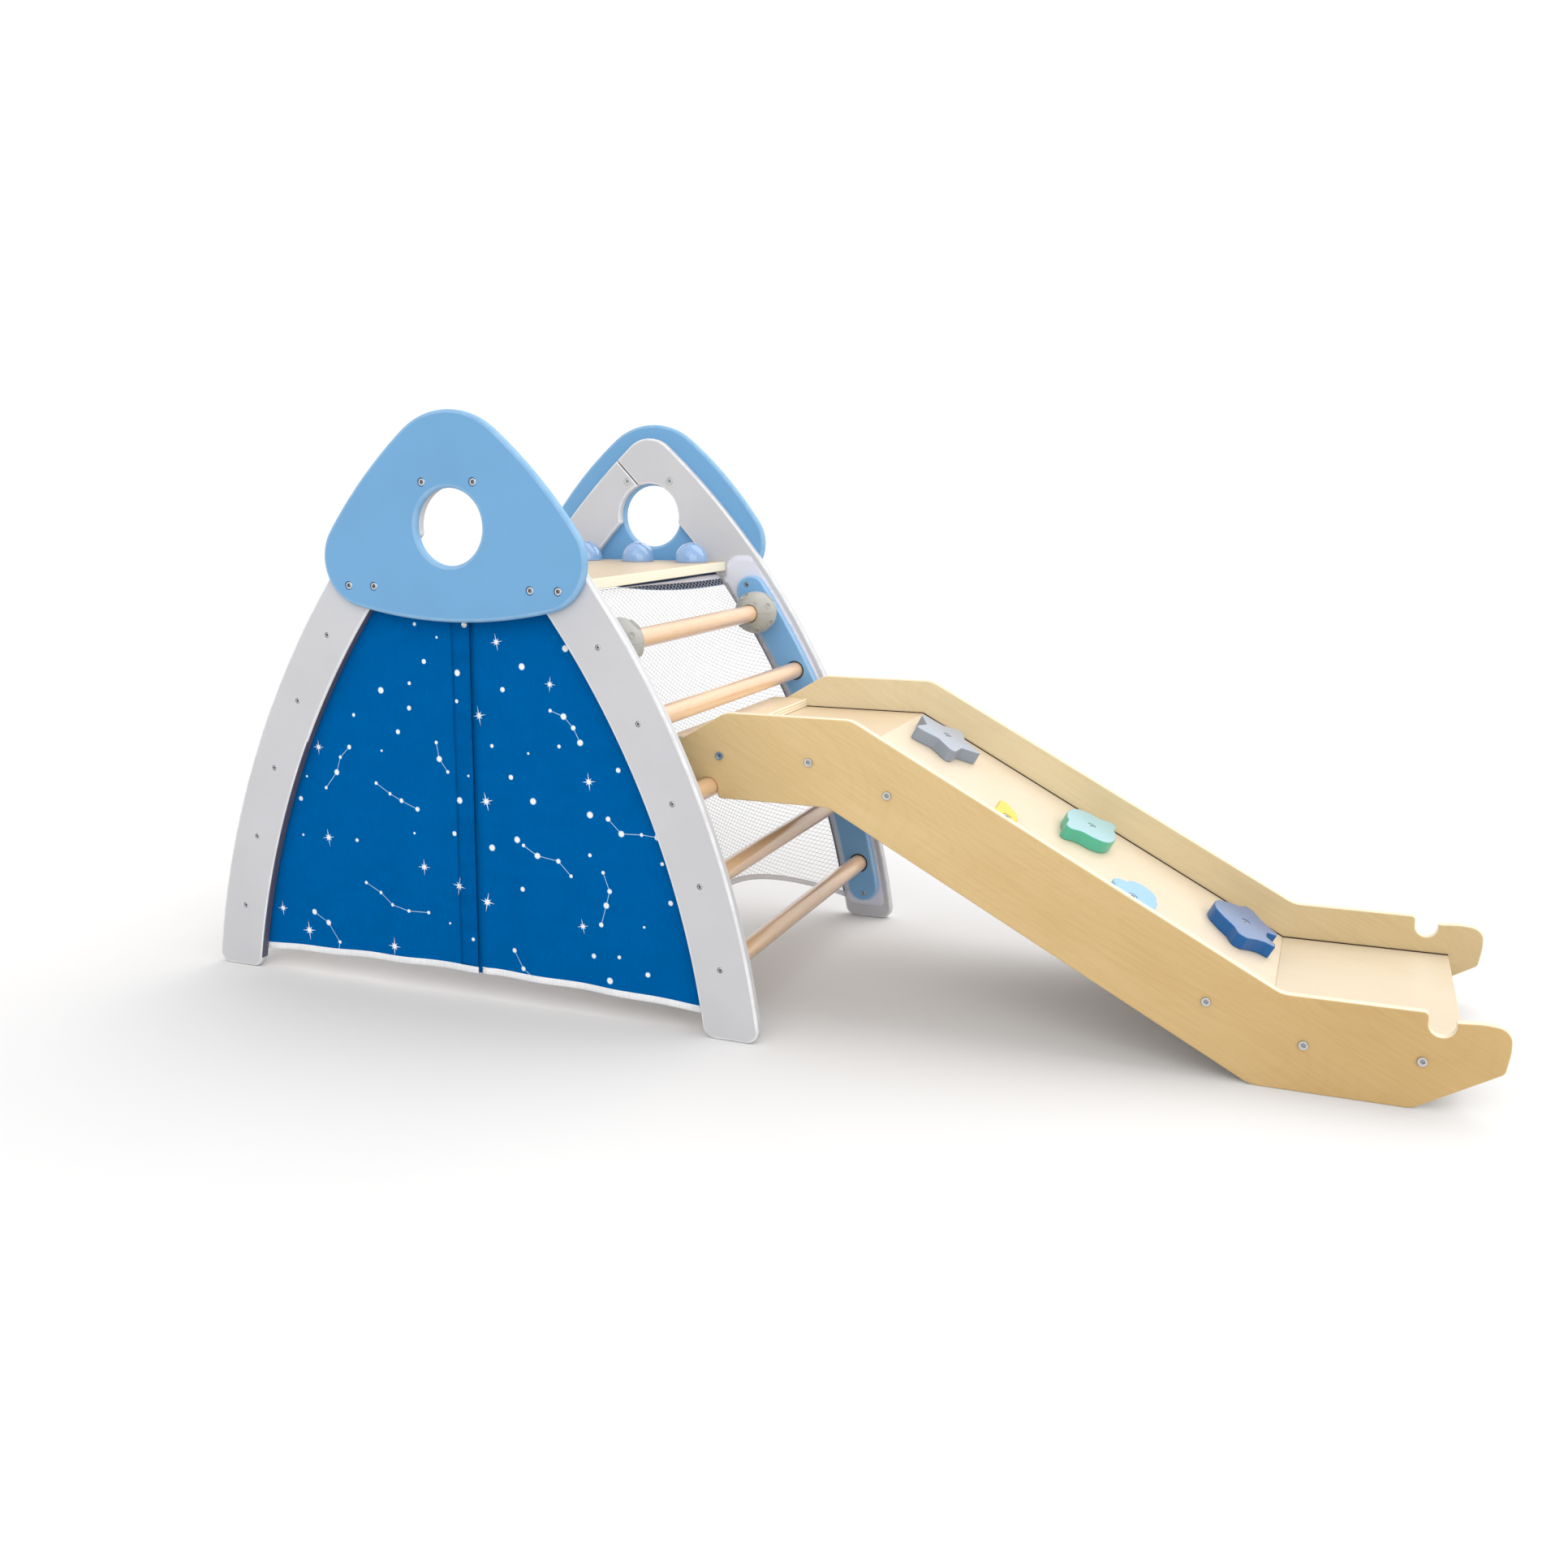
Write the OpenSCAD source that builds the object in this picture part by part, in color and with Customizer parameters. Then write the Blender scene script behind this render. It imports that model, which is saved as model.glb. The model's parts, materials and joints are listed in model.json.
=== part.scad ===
// Toddler climbing gym: a rocket-shaped tower with a console, a net, a curtain and two moon grips, and a
// slide whose hooked end drops over a rung. All sizes in millimetres.
// x runs from the tower towards the foot of the slide, y from the curtain side to the open side, z up.

/* [Side frames] */
// Radius of the curve along the middle of each leg
leg_radius = 1428; // [1300:1:1600]
// Width of a leg across its curve
leg_width = 91; // [80:1:100]
// Thickness of the leg boards
leg_t = 18; // [15:0.5:24]
// Distance from the middle of the tower to the middle of a leg at the floor
leg_foot_x = 468.7; // [450:0.1:490]
// Height at which the middle lines of the two legs cross
leg_peak_z = 881.8; // [860:0.1:900]
// Clear distance between the two side frames
frame_gap = 688; // [600:1:800]
// Radius of the apex where the two legs meet
apex_r = 60; // [50:1:70]
// Rounding of the corners of each foot
foot_r = 20; // [5:1:35]
// Angle along the leg's curve from the seam, where the left leg ends, up to the crossing of the middle lines
seam_back = 2.06; // [2:0.01:3]

/* [Nose plates] */
// Thickness of the nose plates
nose_t = 15; // [12:0.5:21]
// Height of the plate's tip above the legs' apex
nose_over = 27; // [10:1:50]
// Radius of the plate's tip
nose_tip_r = 129; // [100:1:150]
// Radius of the plate's long sides
nose_side_r = 773; // [600:1:1200]
// Radius of the plate's lower corners
nose_corner_r = 78; // [50:1:95]
// Distance of the lower corners' centres from the middle
nose_corner_x = 161; // [140:1:180]
// Depth of the lower corners' centres below the apex centre
nose_corner_drop = 144; // [120:1:170]
// Radius of the plate's lower edge
nose_base_r = 786; // [500:1:1500]
// Radius of the porthole in the plate
window_r = 60; // [45:1:64]
// Depth of the porthole's centre below the apex centre
window_drop = 92.5; // [85:0.5:105]
// How far the legs stand back behind the porthole's edge
window_back = 4; // [1:0.5:8]
// Height of the upper pair of plate bolts above the porthole's centre
crown_bolt_up = 69; // [67:1:85]

/* [Rungs and rails] */
// Number of rungs on each side
rung_count = 5; // [4:1:6]
// Diameter of the rungs
rung_d = 32; // [28:1:38]
// Distance from rung to rung along the leg's curve
rung_pitch = 131; // [110:1:135]
// Height of the lowest rung above the floor
rung_low = 110; // [90:1:140]
// Width of the rails that stiffen the legs
rail_w = 58; // [48:1:66]
// Thickness of the rails
rail_t = 15; // [12:0.5:18]
// Length of rail past the first and last rungs
rail_over = 75; // [60:1:90]
// Distance of the rail screws from the rail's ends
rail_screw_in = 15; // [11:1:25]
// Free space around a rung where it passes a rail
rail_clear = 1.5; // [0.5:0.1:3]

/* [Console] */
// Thickness of the console board
board_t = 18; // [15:0.5:21]
// Length of the console board along the tower
board_w = 332; // [300:1:345]
// Height of the console board's top face
board_top = 684; // [670:1:700]
// Distance of the board's bolts from its two ends
board_bolt_in = 23; // [15:1:30]
// Diameter of the turning domes
dome_d = 68; // [50:1:80]
// Height of the straight foot of each dome
dome_foot = 4; // [2:0.5:8]
// Wall thickness of the domes
dome_wall = 3; // [2:0.5:5]
// Distance from dome to dome
dome_pitch = 115; // [85:1:120]
// Distance of the domes' centres from the open side frame
dome_back = 50; // [42:1:120]
// Number of slots around a dome's crown
dome_slots = 4; // [3:1:8]
// Distance of the crown slots from the dome's axis
dome_slot_x = 13; // [10:0.5:20]

/* [Moon grips] */
// Diameter of the moon grips
moon_d = 80; // [66:1:84]
// Free space between a moon grip and its rung
moon_clear = 1.2; // [0.3:0.1:2]
// Depth of the guide groove in the rung
moon_groove = 2; // [1:0.5:4]
// Width of the guide rib inside a moon grip
moon_rib = 6; // [4:0.5:10]
// Distance of a grip's own screws from its axis
moon_screw_x = 26; // [24:0.5:28]
// Depth of the craters
crater_depth = 1.6; // [0.6:0.1:2.5]

/* [Net and curtain] */
// Thickness of the net's edge tapes
tape_t = 1.5; // [1:0.1:3]
// Width of the net's edge tapes
tape_w = 74; // [66:1:84]
// Height of the top of the tapes
tape_top = 697; // [690:1:705]
// Height of the foot of the tapes
tape_low = 24; // [15:1:45]
// Height of the net's upper edge
net_top = 652; // [600:1:655]
// Dip of the net's upper edge in its middle
net_dip = 8; // [0:1:20]
// Height of the net's lower corners
net_low = 36; // [30:1:60]
// Rise of the net's lower edge in its middle
net_rise = 120; // [0:1:160]
// Depth of the net's sag in its middle
net_sag = 95; // [85:1:130]
// Number of net openings across
net_across = 18; // [8:1:22]
// Number of net openings from top to bottom, hems left out
net_along = 12; // [6:1:13]
// Width of a strand as seen in this coarse lattice
net_strand = 7; // [3:0.5:12]
// Thickness of the net
net_t = 1.2; // [0.8:0.1:2]
// Thickness of the curtain cloth
cloth_t = 1.2; // [0.8:0.1:2]
// Height of the curtain's upper edge
cloth_top = 652; // [630:1:660]
// Height of the curtain's lower corners
cloth_low = 31; // [20:1:60]
// Rise of the curtain's lower edge in its middle
cloth_rise = 10; // [0:1:40]
// Distance of the parting from the middle of the tower
cloth_split = 12; // [-40:1:40]
// Overlap of the two halves at the parting
cloth_lap = 36; // [20:1:60]
// Depth of the curtain's folds
cloth_fold = 5; // [0:0.5:10]
// Number of folds in each half
cloth_folds = 3; // [1:1:5]

/* [Slide] */
// Width of the slide over its side panels
slide_w = 493; // [400:1:500]
// Distance of the slide's middle from the tower's middle across the tower
slide_y = 20; // [0:1:30]
// Thickness of the side panels
panel_t = 15; // [12:0.5:18]
// Height of the side panels
panel_h = 138; // [125:1:150]
// Level run of the sloping part
slope_run = 627; // [560:1:700]
// Number of the rung that carries the slide, counted from the floor
hook_rung = 3; // [3:1:3]
// Distance from the carrying rung to the middle of the slide
hook_reach = 531; // [500:1:580]
// Height of the carrying rung's middle above the panel's lower edge
hook_depth = 16.3; // [14:0.1:20]
// Free space between the hook and its rung
hook_clear = 0.8; // [0.5:0.1:2]
// Rounding of the hook's mouth
hook_mouth = 6.5; // [2:0.5:10]
// Length of the panel's nose past the hook
nose_len = 83; // [70:1:90]
// Depth of the bed below the panels' upper edges
bed_drop = 59; // [45:1:70]
// Thickness of the bed boards
bed_t = 20; // [15:0.5:24]
// Length of the lower bed past the hook
bed_past = 34; // [20:1:50]
// Distance of the inner bed bolts from the slide's middle
bolt_inner = 362; // [350:1:380]
// Distance of the outer bed bolts from the slide's middle
bolt_outer = 510; // [480:1:520]
// Distance of the slope's bolts from its two ends
bolt_slope = 90; // [60:1:120]
// Width of the stop batten at the top of the bed
batten_w = 68; // [40:1:80]
// Thickness of the stop batten
batten_t = 15; // [10:0.5:20]

/* [Climbing holds] */
// Thickness of the holds
hold_t = 23; // [15:1:30]
// Distance of the two rows of holds from the side panels
hold_side = 123.5; // [110:0.5:140]
// Distance of the first and last hold from the ends of the slope
hold_end = 74; // [70:1:90]
// Distance of the second and fourth hold from the middle one
hold_step = 111; // [100:1:130]
// Size of the star from its middle to its tips
star_r = 71; // [55:1:75]
// Size of the planet's disc from its middle
planet_r = 48; // [35:1:55]
// Length of the planet's ring
planet_ring = 171; // [140:1:180]

/* [Fasteners] */
// Radius of the frame bolts and screws
bolt_r = 3; // [2.5:0.1:3.5]
// Radius of their heads
head_r = 6.5; // [5.5:0.1:7]
// Thickness of their heads
head_t = 3.6; // [2.5:0.1:5]
// Depth at which the heads stand below the surface
head_sink = 1; // [0:0.1:2]
// Depth at which the holds' bolts stand below the holds' tops
hold_sink = 1; // [0:0.1:3]
// Radius of the screws in the rungs and rails
screw_r = 2.2; // [1.8:0.1:2.6]
// Radius of the rung screws' heads
screw_head_r = 4; // [3.5:0.1:5]
// Length of a screw inside a rung
rung_screw_len = 45; // [30:1:60]
// Radius of the sleeve nuts
sleeve_r = 4.5; // [4.2:0.1:5]
// Thickness of the sleeve nuts' flanges
flange_t = 2; // [1.5:0.1:3]
// Radius of the barrel nuts
barrel_r = 5; // [4.5:0.1:5.5]
// Length of the barrel nuts
barrel_len = 13; // [10:0.5:13]
// Distance of the barrel nuts from the board's edge
barrel_in = 30; // [20:1:40]
// Space left around bolts, nuts and other turned pieces
fit = 0.3; // [0.2:0.05:0.4]

/* [Hidden] */
$fn = 64;

// legs
ro = leg_radius + leg_width / 2;
ri = leg_radius - leg_width / 2;
leg_chord = [leg_foot_x, leg_peak_z];
leg_reach = sqrt(pow(leg_radius, 2) - pow(norm(leg_chord) / 2, 2));
leg_c = leg_chord / 2 - leg_reach * [leg_peak_z, leg_foot_x] / norm(leg_chord);
leg_centre_x = -leg_c.x;
leg_centre_drop = -leg_c.y;
seam_angle = acos(leg_centre_x / leg_radius) - seam_back;
apex_z = sqrt(pow(ro - apex_r, 2) - pow(leg_centre_x, 2)) - leg_centre_drop;
tangent_a = atan2(apex_z + leg_centre_drop, leg_centre_x);
crown_a = acos(leg_centre_x / ri);
foot_rise = foot_r + leg_centre_drop;
foot_out = [sqrt(pow(ro - foot_r, 2) - pow(foot_rise, 2)) - leg_centre_x, foot_r];
foot_in = [sqrt(pow(ri + foot_r, 2) - pow(foot_rise, 2)) - leg_centre_x, foot_r];
foot_out_a = atan2(foot_rise, foot_out.x + leg_centre_x);
foot_in_a = atan2(foot_rise, foot_in.x + leg_centre_x);
window_z = apex_z - window_drop;
in_y = -frame_gap / 2;
leg_y = in_y - leg_t;
nose_y = leg_y - nose_t;

// rungs and rails
rung_low_a = leg_angle(leg_radius, rung_low);
rung_step_a = arc_deg(rung_pitch);
rung_top_a = rung_low_a + (rung_count - 1) * rung_step_a;
rail_cap_a = arc_deg(rail_over - rail_w / 2);
rail_screw_a = arc_deg(rail_over - rail_screw_in);
rail_screw_sites = [leg_point(leg_radius, rung_low_a - rail_screw_a),
    leg_point(leg_radius, rung_top_a + rail_screw_a)];

// plate bolts on the right-hand side
board_z = board_top - board_t / 2;
crown_bolt = leg_point(leg_radius, leg_angle(leg_radius, window_z + crown_bolt_up));
leg_bolt = leg_point(leg_radius, leg_angle(leg_radius, board_z));
board_bolt = [board_w / 2 - board_bolt_in, board_z];
flange_r = sleeve_r + 2.5;
rail_head_r = screw_head_r + 1;

// domes and moon grips
dome_r = dome_d / 2;
dome_y = frame_gap / 2 - dome_back;
moon_r = moon_d / 2;
moon_bore = rung_d / 2 + moon_clear;
moon_y = -in_y - tape_t - rail_t - 2 * fit - sqrt(pow(moon_r, 2) - pow(moon_bore, 2));
moon_rib_r = rung_d / 2 - moon_groove + fit;

// slide, measured from the middle of a side panel
hook_at = rung_at(hook_rung - 1);
hook_r = rung_d / 2 + hook_clear;
slide_mid = [hook_at.x + hook_reach, (hook_at.y - hook_depth + panel_h) / 2];
slide_drop = 2 * slide_mid.y - panel_h;
slope = atan2(slide_drop, slope_run);
knee_lean = tan(slope / 2);
knee_top = [-slope_run / 2 + panel_h * knee_lean / 2, slide_mid.y];
knee_base = [-slope_run / 2 - panel_h * knee_lean / 2, slide_mid.y - panel_h];
bed_knee = knee_top + bed_drop * [-knee_lean, -1];
bed_foot = [bed_knee.x + slope_run, bed_knee.y - slide_drop];
bed_start = -hook_reach - nose_len + 13;
bed_end = hook_reach + bed_past;
bed_len = norm(bed_foot - bed_knee);
inner_w = slide_w - 2 * panel_t;
tip_x = hook_reach + nose_len;
tower_x = -(slide_mid.x + tip_x - foot_out.x - foot_r) / 2;
bed_bolts = [[bed_knee, 0, -bolt_outer - bed_knee.x], [bed_knee, 0, -bolt_inner - bed_knee.x],
    [bed_knee, slope, bolt_slope], [bed_knee, slope, bed_len - bolt_slope],
    [bed_foot, 0, bolt_inner - bed_foot.x], [bed_foot, 0, bolt_outer - bed_foot.x]];
hold_row = inner_w / 2 - hold_side;
hold_at = [[hold_end, hold_row], [bed_len / 2 - hold_step, -hold_row], [bed_len / 2, hold_row],
    [bed_len / 2 + hold_step, -hold_row], [bed_len - hold_end, hold_row]];

function unit(v) = v / norm(v);
function angle_of(v) = atan2(v.y, v.x);
function flip(p) = [-p.x, p.y];
function arc_deg(len) = len / leg_radius * 180 / PI;
function leg_point(r, a) = leg_c + r * [cos(a), sin(a)];
function leg_angle(r, z) = asin((z + leg_centre_drop) / r);
function leg_x(r, z) = leg_point(r, leg_angle(r, z)).x;
function rung_at(i) = leg_point(leg_radius, rung_low_a + i * rung_step_a);

// points along an arc, and outlines with their corners rounded
function arc(c, r, a0, a1, n) =
    [for (i = [0:n]) let (a = a0 + (a1 - a0) * i / n) c + r * [cos(a), sin(a)]];
function short_turn(d) = d > 180 ? d - 360 : d < -180 ? d + 360 : d;
function corner(a, b, c, r, n) =
    let (u = unit(a - b), v = unit(c - b), half = acos(u * v) / 2, m = b + unit(u + v) * r / sin(half))
    let (a0 = angle_of(b + u * r / tan(half) - m), a1 = angle_of(b + v * r / tan(half) - m))
    r <= 0 ? [b] : arc(m, r, a0, a0 + short_turn(a1 - a0), n);
function rounded(pts, radii, n = 8) =
    let (k = len(pts))
    [for (i = [0:k - 1]) each corner(pts[(i + k - 1) % k], pts[i], pts[(i + 1) % k], radii[i], n)];
function clean(p) = [for (i = [0:len(p) - 1]) if (norm(p[i] - p[(i + 1) % len(p)]) > 0.01) p[i]];
function back(p) = [for (i = [len(p) - 1:-1:0]) flip(p[i])];

// where two circles cross, on the side of smaller x
function meet(c1, r1, c2, r2) =
    let (d = norm(c2 - c1), a = (r1 * r1 - r2 * r2 + d * d) / (2 * d), h = sqrt(r1 * r1 - a * a))
    let (u = (c2 - c1) / d, m = c1 + u * a, n = [-u.y, u.x] * h)
    (m + n).x < (m - n).x ? m + n : m - n;

// place things in the tower, on the near side's wall, or in the slide
module stand() { translate([tower_x, 0, 0]) children(); }
module far_side() { mirror([0, 1, 0]) children(); }
module both_sides() { children(); mirror([0, 1, 0]) children(); }
module left_if(left) { if (left) mirror([1, 0, 0]) children(); else children(); }
module upright(y, t) { translate([0, y + t, 0]) rotate([90, 0, 0]) linear_extrude(t) children(); }
module rod_y(p, r, y0, y1) { translate([p.x, y0, p.y]) rotate([-90, 0, 0]) cylinder(r = r, h = y1 - y0); }
module slide_place() { stand() translate([slide_mid.x, slide_y, slide_mid.y]) children(); }
module on_slope() { slide_place() translate([bed_knee.x, 0, bed_knee.y]) rotate([0, slope, 0]) children(); }

// a socket head on a shank along +y; y0 is the outer face of the head
module socket_bolt(p, y0, shank_end, r = bolt_r, top_r = head_r) {
    difference() {
        union() {
            rod_y(p, top_r, y0, y0 + head_t);
            rod_y(p, r, y0 + head_t / 2, shank_end);
        }
        translate([p.x, y0 - 1, p.y]) rotate([-90, 0, 0])
            cylinder(r = r * 0.75, h = 1 + head_t * 0.6, $fn = 6);
    }
}

// the side frames: the right-hand leg carries the whole apex, the left-hand leg butts against it
right_leg_line = clean(concat(
    arc(foot_out, foot_r, -90, foot_out_a, 8),
    arc(leg_c, ro, foot_out_a, tangent_a, 40),
    arc([0, apex_z], apex_r, tangent_a, 180 - tangent_a, 16),
    [flip(leg_point(ro, seam_angle)), flip(leg_point(ri, seam_angle))],
    arc(leg_c, ri, crown_a, foot_in_a, 40),
    arc(foot_in, foot_r, foot_in_a + 180, 270, 8)));
left_leg_line = clean(concat(
    arc(foot_out, foot_r, -90, foot_out_a, 8),
    arc(leg_c, ro, foot_out_a, seam_angle, 40),
    arc(leg_c, ri, seam_angle, foot_in_a, 40),
    arc(foot_in, foot_r, foot_in_a + 180, 270, 8)));

module near_leg(left) {
    color([0.8, 0.8, 0.81])
    left_if(left)
    difference() {
        upright(leg_y, leg_t) polygon(left ? left_leg_line : right_leg_line);
        rod_y([0, window_z], window_r + window_back, leg_y - 1, in_y + 1);
        for (i = [0:rung_count - 1]) {
            rod_y(rung_at(i), screw_r + fit, leg_y - 1, in_y + 1);
            rod_y(rung_at(i), screw_head_r + 2 * fit, leg_y - 1, leg_y + head_sink + head_t);
        }
        for (p = [crown_bolt, leg_bolt]) {
            rod_y(p, sleeve_r + fit, leg_y - 1, in_y + 1);
            rod_y(p, flange_r + fit, in_y - flange_t, in_y + 1);
        }
        if (!left) {
            rod_y(flip(crown_bolt), sleeve_r + fit, leg_y - 1, in_y + 1);
            rod_y(flip(crown_bolt), flange_r + fit, in_y - flange_t, in_y + 1);
        }
        rod_y(board_bolt, bolt_r + fit, leg_y - 1, in_y + 1);
        for (p = rail_screw_sites) rod_y(p, screw_r + fit, in_y - leg_t * 0.7, in_y + 1);
    }
}

module near_left_leg() { stand() near_leg(true); }
module near_right_leg() { stand() near_leg(false); }
module far_left_leg() { stand() far_side() near_leg(true); }
module far_right_leg() { stand() far_side() near_leg(false); }

// nose plates: four tangent arcs on each side of the middle
nose_tip_c = [0, apex_z + apex_r + nose_over - nose_tip_r];
nose_corner_c = [nose_corner_x, apex_z - nose_corner_drop];
nose_side_c = meet(nose_tip_c, nose_side_r - nose_tip_r, nose_corner_c, nose_side_r - nose_corner_r);
nose_base_c = [0, nose_corner_c.y + sqrt(pow(nose_base_r - nose_corner_r, 2) - pow(nose_corner_x, 2))];
nose_a1 = angle_of(nose_corner_c - nose_base_c);
nose_a2 = angle_of(nose_corner_c - nose_side_c);
nose_a3 = angle_of(nose_tip_c - nose_side_c);
nose_half = concat(
    arc(nose_base_c, nose_base_r, -90, nose_a1, 14),
    arc(nose_corner_c, nose_corner_r, nose_a1, nose_a2, 20),
    arc(nose_side_c, nose_side_r, nose_a2, nose_a3, 18),
    arc(nose_tip_c, nose_tip_r, nose_a3, 90, 14));
nose_line = clean(concat(nose_half, back(nose_half)));
plate_bolts = [for (p = [crown_bolt, leg_bolt, board_bolt], s = [1, -1]) [s * p.x, p.y]];

module near_plate() {
    color([0.48, 0.68, 0.86])
    difference() {
        upright(nose_y, nose_t) polygon(nose_line);
        rod_y([0, window_z], window_r, nose_y - 1, leg_y + 1);
        for (p = plate_bolts) {
            rod_y(p, bolt_r + fit, nose_y - 1, leg_y + 1);
            rod_y(p, head_r + 2 * fit, nose_y - 1, nose_y + head_sink + head_t);
        }
    }
}

module near_nose_plate() { stand() near_plate(); }
module far_nose_plate() { stand() far_side() near_plate(); }

// rails on the inner faces of the legs, with a hole for every rung
rail_c0 = leg_point(leg_radius, rung_low_a - rail_cap_a);
rail_c1 = leg_point(leg_radius, rung_top_a + rail_cap_a);
rail_a0 = rung_low_a - rail_cap_a;
rail_a1 = rung_top_a + rail_cap_a;
rail_line = clean(concat(
    arc(leg_c, leg_radius + rail_w / 2, rail_a0, rail_a1, 30),
    arc(rail_c1, rail_w / 2, rail_a1, rail_a1 + 180, 18),
    arc(leg_c, leg_radius - rail_w / 2, rail_a1, rail_a0, 30),
    arc(rail_c0, rail_w / 2, rail_a0 + 180, rail_a0 + 360, 18)));

module near_rail(left) {
    y0 = in_y + (left ? 0 : tape_t);
    color([0.51, 0.65, 0.82])
    left_if(left)
    difference() {
        upright(y0, rail_t) polygon(rail_line);
        for (i = [0:rung_count - 1]) rod_y(rung_at(i), rung_d / 2 + rail_clear, y0 - 1, y0 + rail_t + 1);
        for (p = rail_screw_sites) {
            rod_y(p, screw_r + fit, y0 - 1, y0 + rail_t + 1);
            rod_y(p, rail_head_r + fit, y0 + rail_t - head_t, y0 + rail_t + 1);
        }
    }
}

module near_left_rail() { stand() near_rail(true); }
module near_right_rail() { stand() near_rail(false); }
module far_left_rail() { stand() far_side() near_rail(true); }
module far_right_rail() { stand() far_side() near_rail(false); }

// rungs between the frames; the top one on the slide's side has a groove for each moon grip
module rung(i, left) {
    p = rung_at(i);
    color([0.93, 0.79, 0.62])
    left_if(left)
    difference() {
        rod_y(p, rung_d / 2, in_y, -in_y);
        both_sides() rod_y(p, screw_r + fit, in_y - 1, in_y + rung_screw_len + 2);
        if (!left && i == rung_count - 1)
            both_sides()
            difference() {
                rod_y(p, rung_d, moon_y - moon_rib / 2 - fit, moon_y + moon_rib / 2 + fit);
                rod_y(p, rung_d / 2 - moon_groove, moon_y - moon_rib, moon_y + moon_rib);
            }
    }
}

module right_rung_1() { stand() rung(0, false); }
module right_rung_2() { stand() rung(1, false); }
module right_rung_3() { stand() rung(2, false); }
module right_rung_4() { stand() rung(3, false); }
module right_rung_5() { stand() for (i = [4:1:rung_count - 1]) rung(i, false); }
module left_rung_1() { stand() rung(0, true); }
module left_rung_2() { stand() rung(1, true); }
module left_rung_3() { stand() rung(2, true); }
module left_rung_4() { stand() rung(3, true); }
module left_rung_5() { stand() for (i = [4:1:rung_count - 1]) rung(i, true); }

// console board: bolted through the frames into barrel nuts, with a pivot hole for each dome
module console_board() {
    color([0.95, 0.86, 0.68])
    stand()
    difference() {
        translate([-board_w / 2, in_y, board_top - board_t]) cube([board_w, frame_gap, board_t]);
        both_sides()
        for (s = [1, -1]) {
            rod_y([s * board_bolt.x, board_z], bolt_r + fit, in_y - 1, in_y + barrel_in + 15);
            translate([s * board_bolt.x, in_y + barrel_in, board_z - barrel_len / 2 - fit])
                mirror([0, 0, 1]) cylinder(r = barrel_r + fit, h = board_t);
            translate([s * board_bolt.x, in_y + barrel_in, board_z - barrel_len / 2 - 2 * fit])
                cylinder(r = barrel_r + fit, h = barrel_len + 4 * fit);
        }
        for (k = [-1:1])
            translate([k * dome_pitch, dome_y, board_top - board_t - 1])
                cylinder(r = bolt_r + fit, h = board_t + 2);
    }
}

// turning domes: hollow caps with slots around the crown, each on a bolt from under the board
module dome(k) {
    color([0.55, 0.67, 0.85])
    stand()
    translate([k * dome_pitch, dome_y, board_top + fit])
    difference() {
        union() {
            difference() {
                union() {
                    cylinder(r = dome_r, h = dome_foot);
                    translate([0, 0, dome_foot]) sphere(r = dome_r);
                }
                translate([0, 0, dome_foot]) sphere(r = dome_r - dome_wall);
                translate([0, 0, -1]) cylinder(r = dome_r - dome_wall, h = dome_foot + 1);
                translate([-dome_d, -dome_d, -2 * dome_d]) cube(2 * dome_d);
            }
            cylinder(r = bolt_r * 2.2, h = dome_foot + dome_r - dome_wall / 2);
        }
        translate([0, 0, -1]) cylinder(r = bolt_r + fit, h = dome_r * 0.7 + 1);
        for (i = [0:dome_slots - 1])
            rotate(i * 360 / dome_slots + 45)
            translate([dome_slot_x - 3, -1.2, dome_foot + dome_r * 0.7]) cube([6, 2.4, dome_r]);
    }
}

module dome_bolt(k) {
    color([0.75, 0.75, 0.76])
    stand()
    translate([k * dome_pitch, dome_y, board_top - board_t - fit])
    difference() {
        union() {
            mirror([0, 0, 1]) cylinder(r = head_r, h = head_t);
            translate([0, 0, -1]) cylinder(r = bolt_r, h = board_t + dome_r * 0.6 + 1);
        }
        translate([0, 0, -head_t - 1]) cylinder(r = bolt_r * 0.75, h = 1 + head_t * 0.6, $fn = 6);
    }
}

module dome_left() { dome(-1); }
module dome_middle() { dome(0); }
module dome_right() { dome(1); }
module dome_bolt_left() { dome_bolt(-1); }
module dome_bolt_middle() { dome_bolt(0); }
module dome_bolt_right() { dome_bolt(1); }

// moon grips: two halves screwed together round the top rung, turning on a rib in the rung's groove
craters = [[20, 48, 10], [75, 28, 5], [118, 58, 6], [165, 30, 9], [232, 52, 9], [285, 26, 6], [330, 22, 5]];

module crater(az, el, rim) {
    bowl = (rim * rim + crater_depth * crater_depth) / (2 * crater_depth);
    rise = sqrt(moon_r * moon_r - rim * rim);
    rotate([0, -el, az]) translate([rise + bowl - crater_depth, 0, 0]) sphere(r = bowl);
}

module moon_half(lower) {
    color([0.73, 0.73, 0.7])
    mirror([0, 0, lower ? 1 : 0])
    difference() {
        intersection() {
            sphere(r = moon_r);
            translate([-moon_r, -moon_r, 0]) cube([moon_d, moon_d, moon_d]);
        }
        rod_y([0, 0], moon_rib_r, -moon_r, moon_r);
        rod_y([0, 0], moon_bore, -moon_r, -moon_rib / 2);
        rod_y([0, 0], moon_bore, moon_rib / 2, moon_r);
        for (c = craters) crater(c[0] + (lower ? 55 : 0), c[1], c[2]);
        for (s = [1, -1])
            translate([s * moon_screw_x, 0, -1]) {
                cylinder(r = 1.6 + fit, h = lower ? moon_r : 14);
                if (lower) translate([0, 0, 11]) cylinder(r = 3.2 + fit, h = moon_r);
            }
    }
}

module moon_screw_pair() {
    color([0.75, 0.75, 0.76])
    for (s = [1, -1])
        translate([s * moon_screw_x, 0, -12.2]) {
            cylinder(r = 3.2, h = 2.2);
            translate([0, 0, 1]) cylinder(r = 1.6, h = 23);
        }
}

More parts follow.
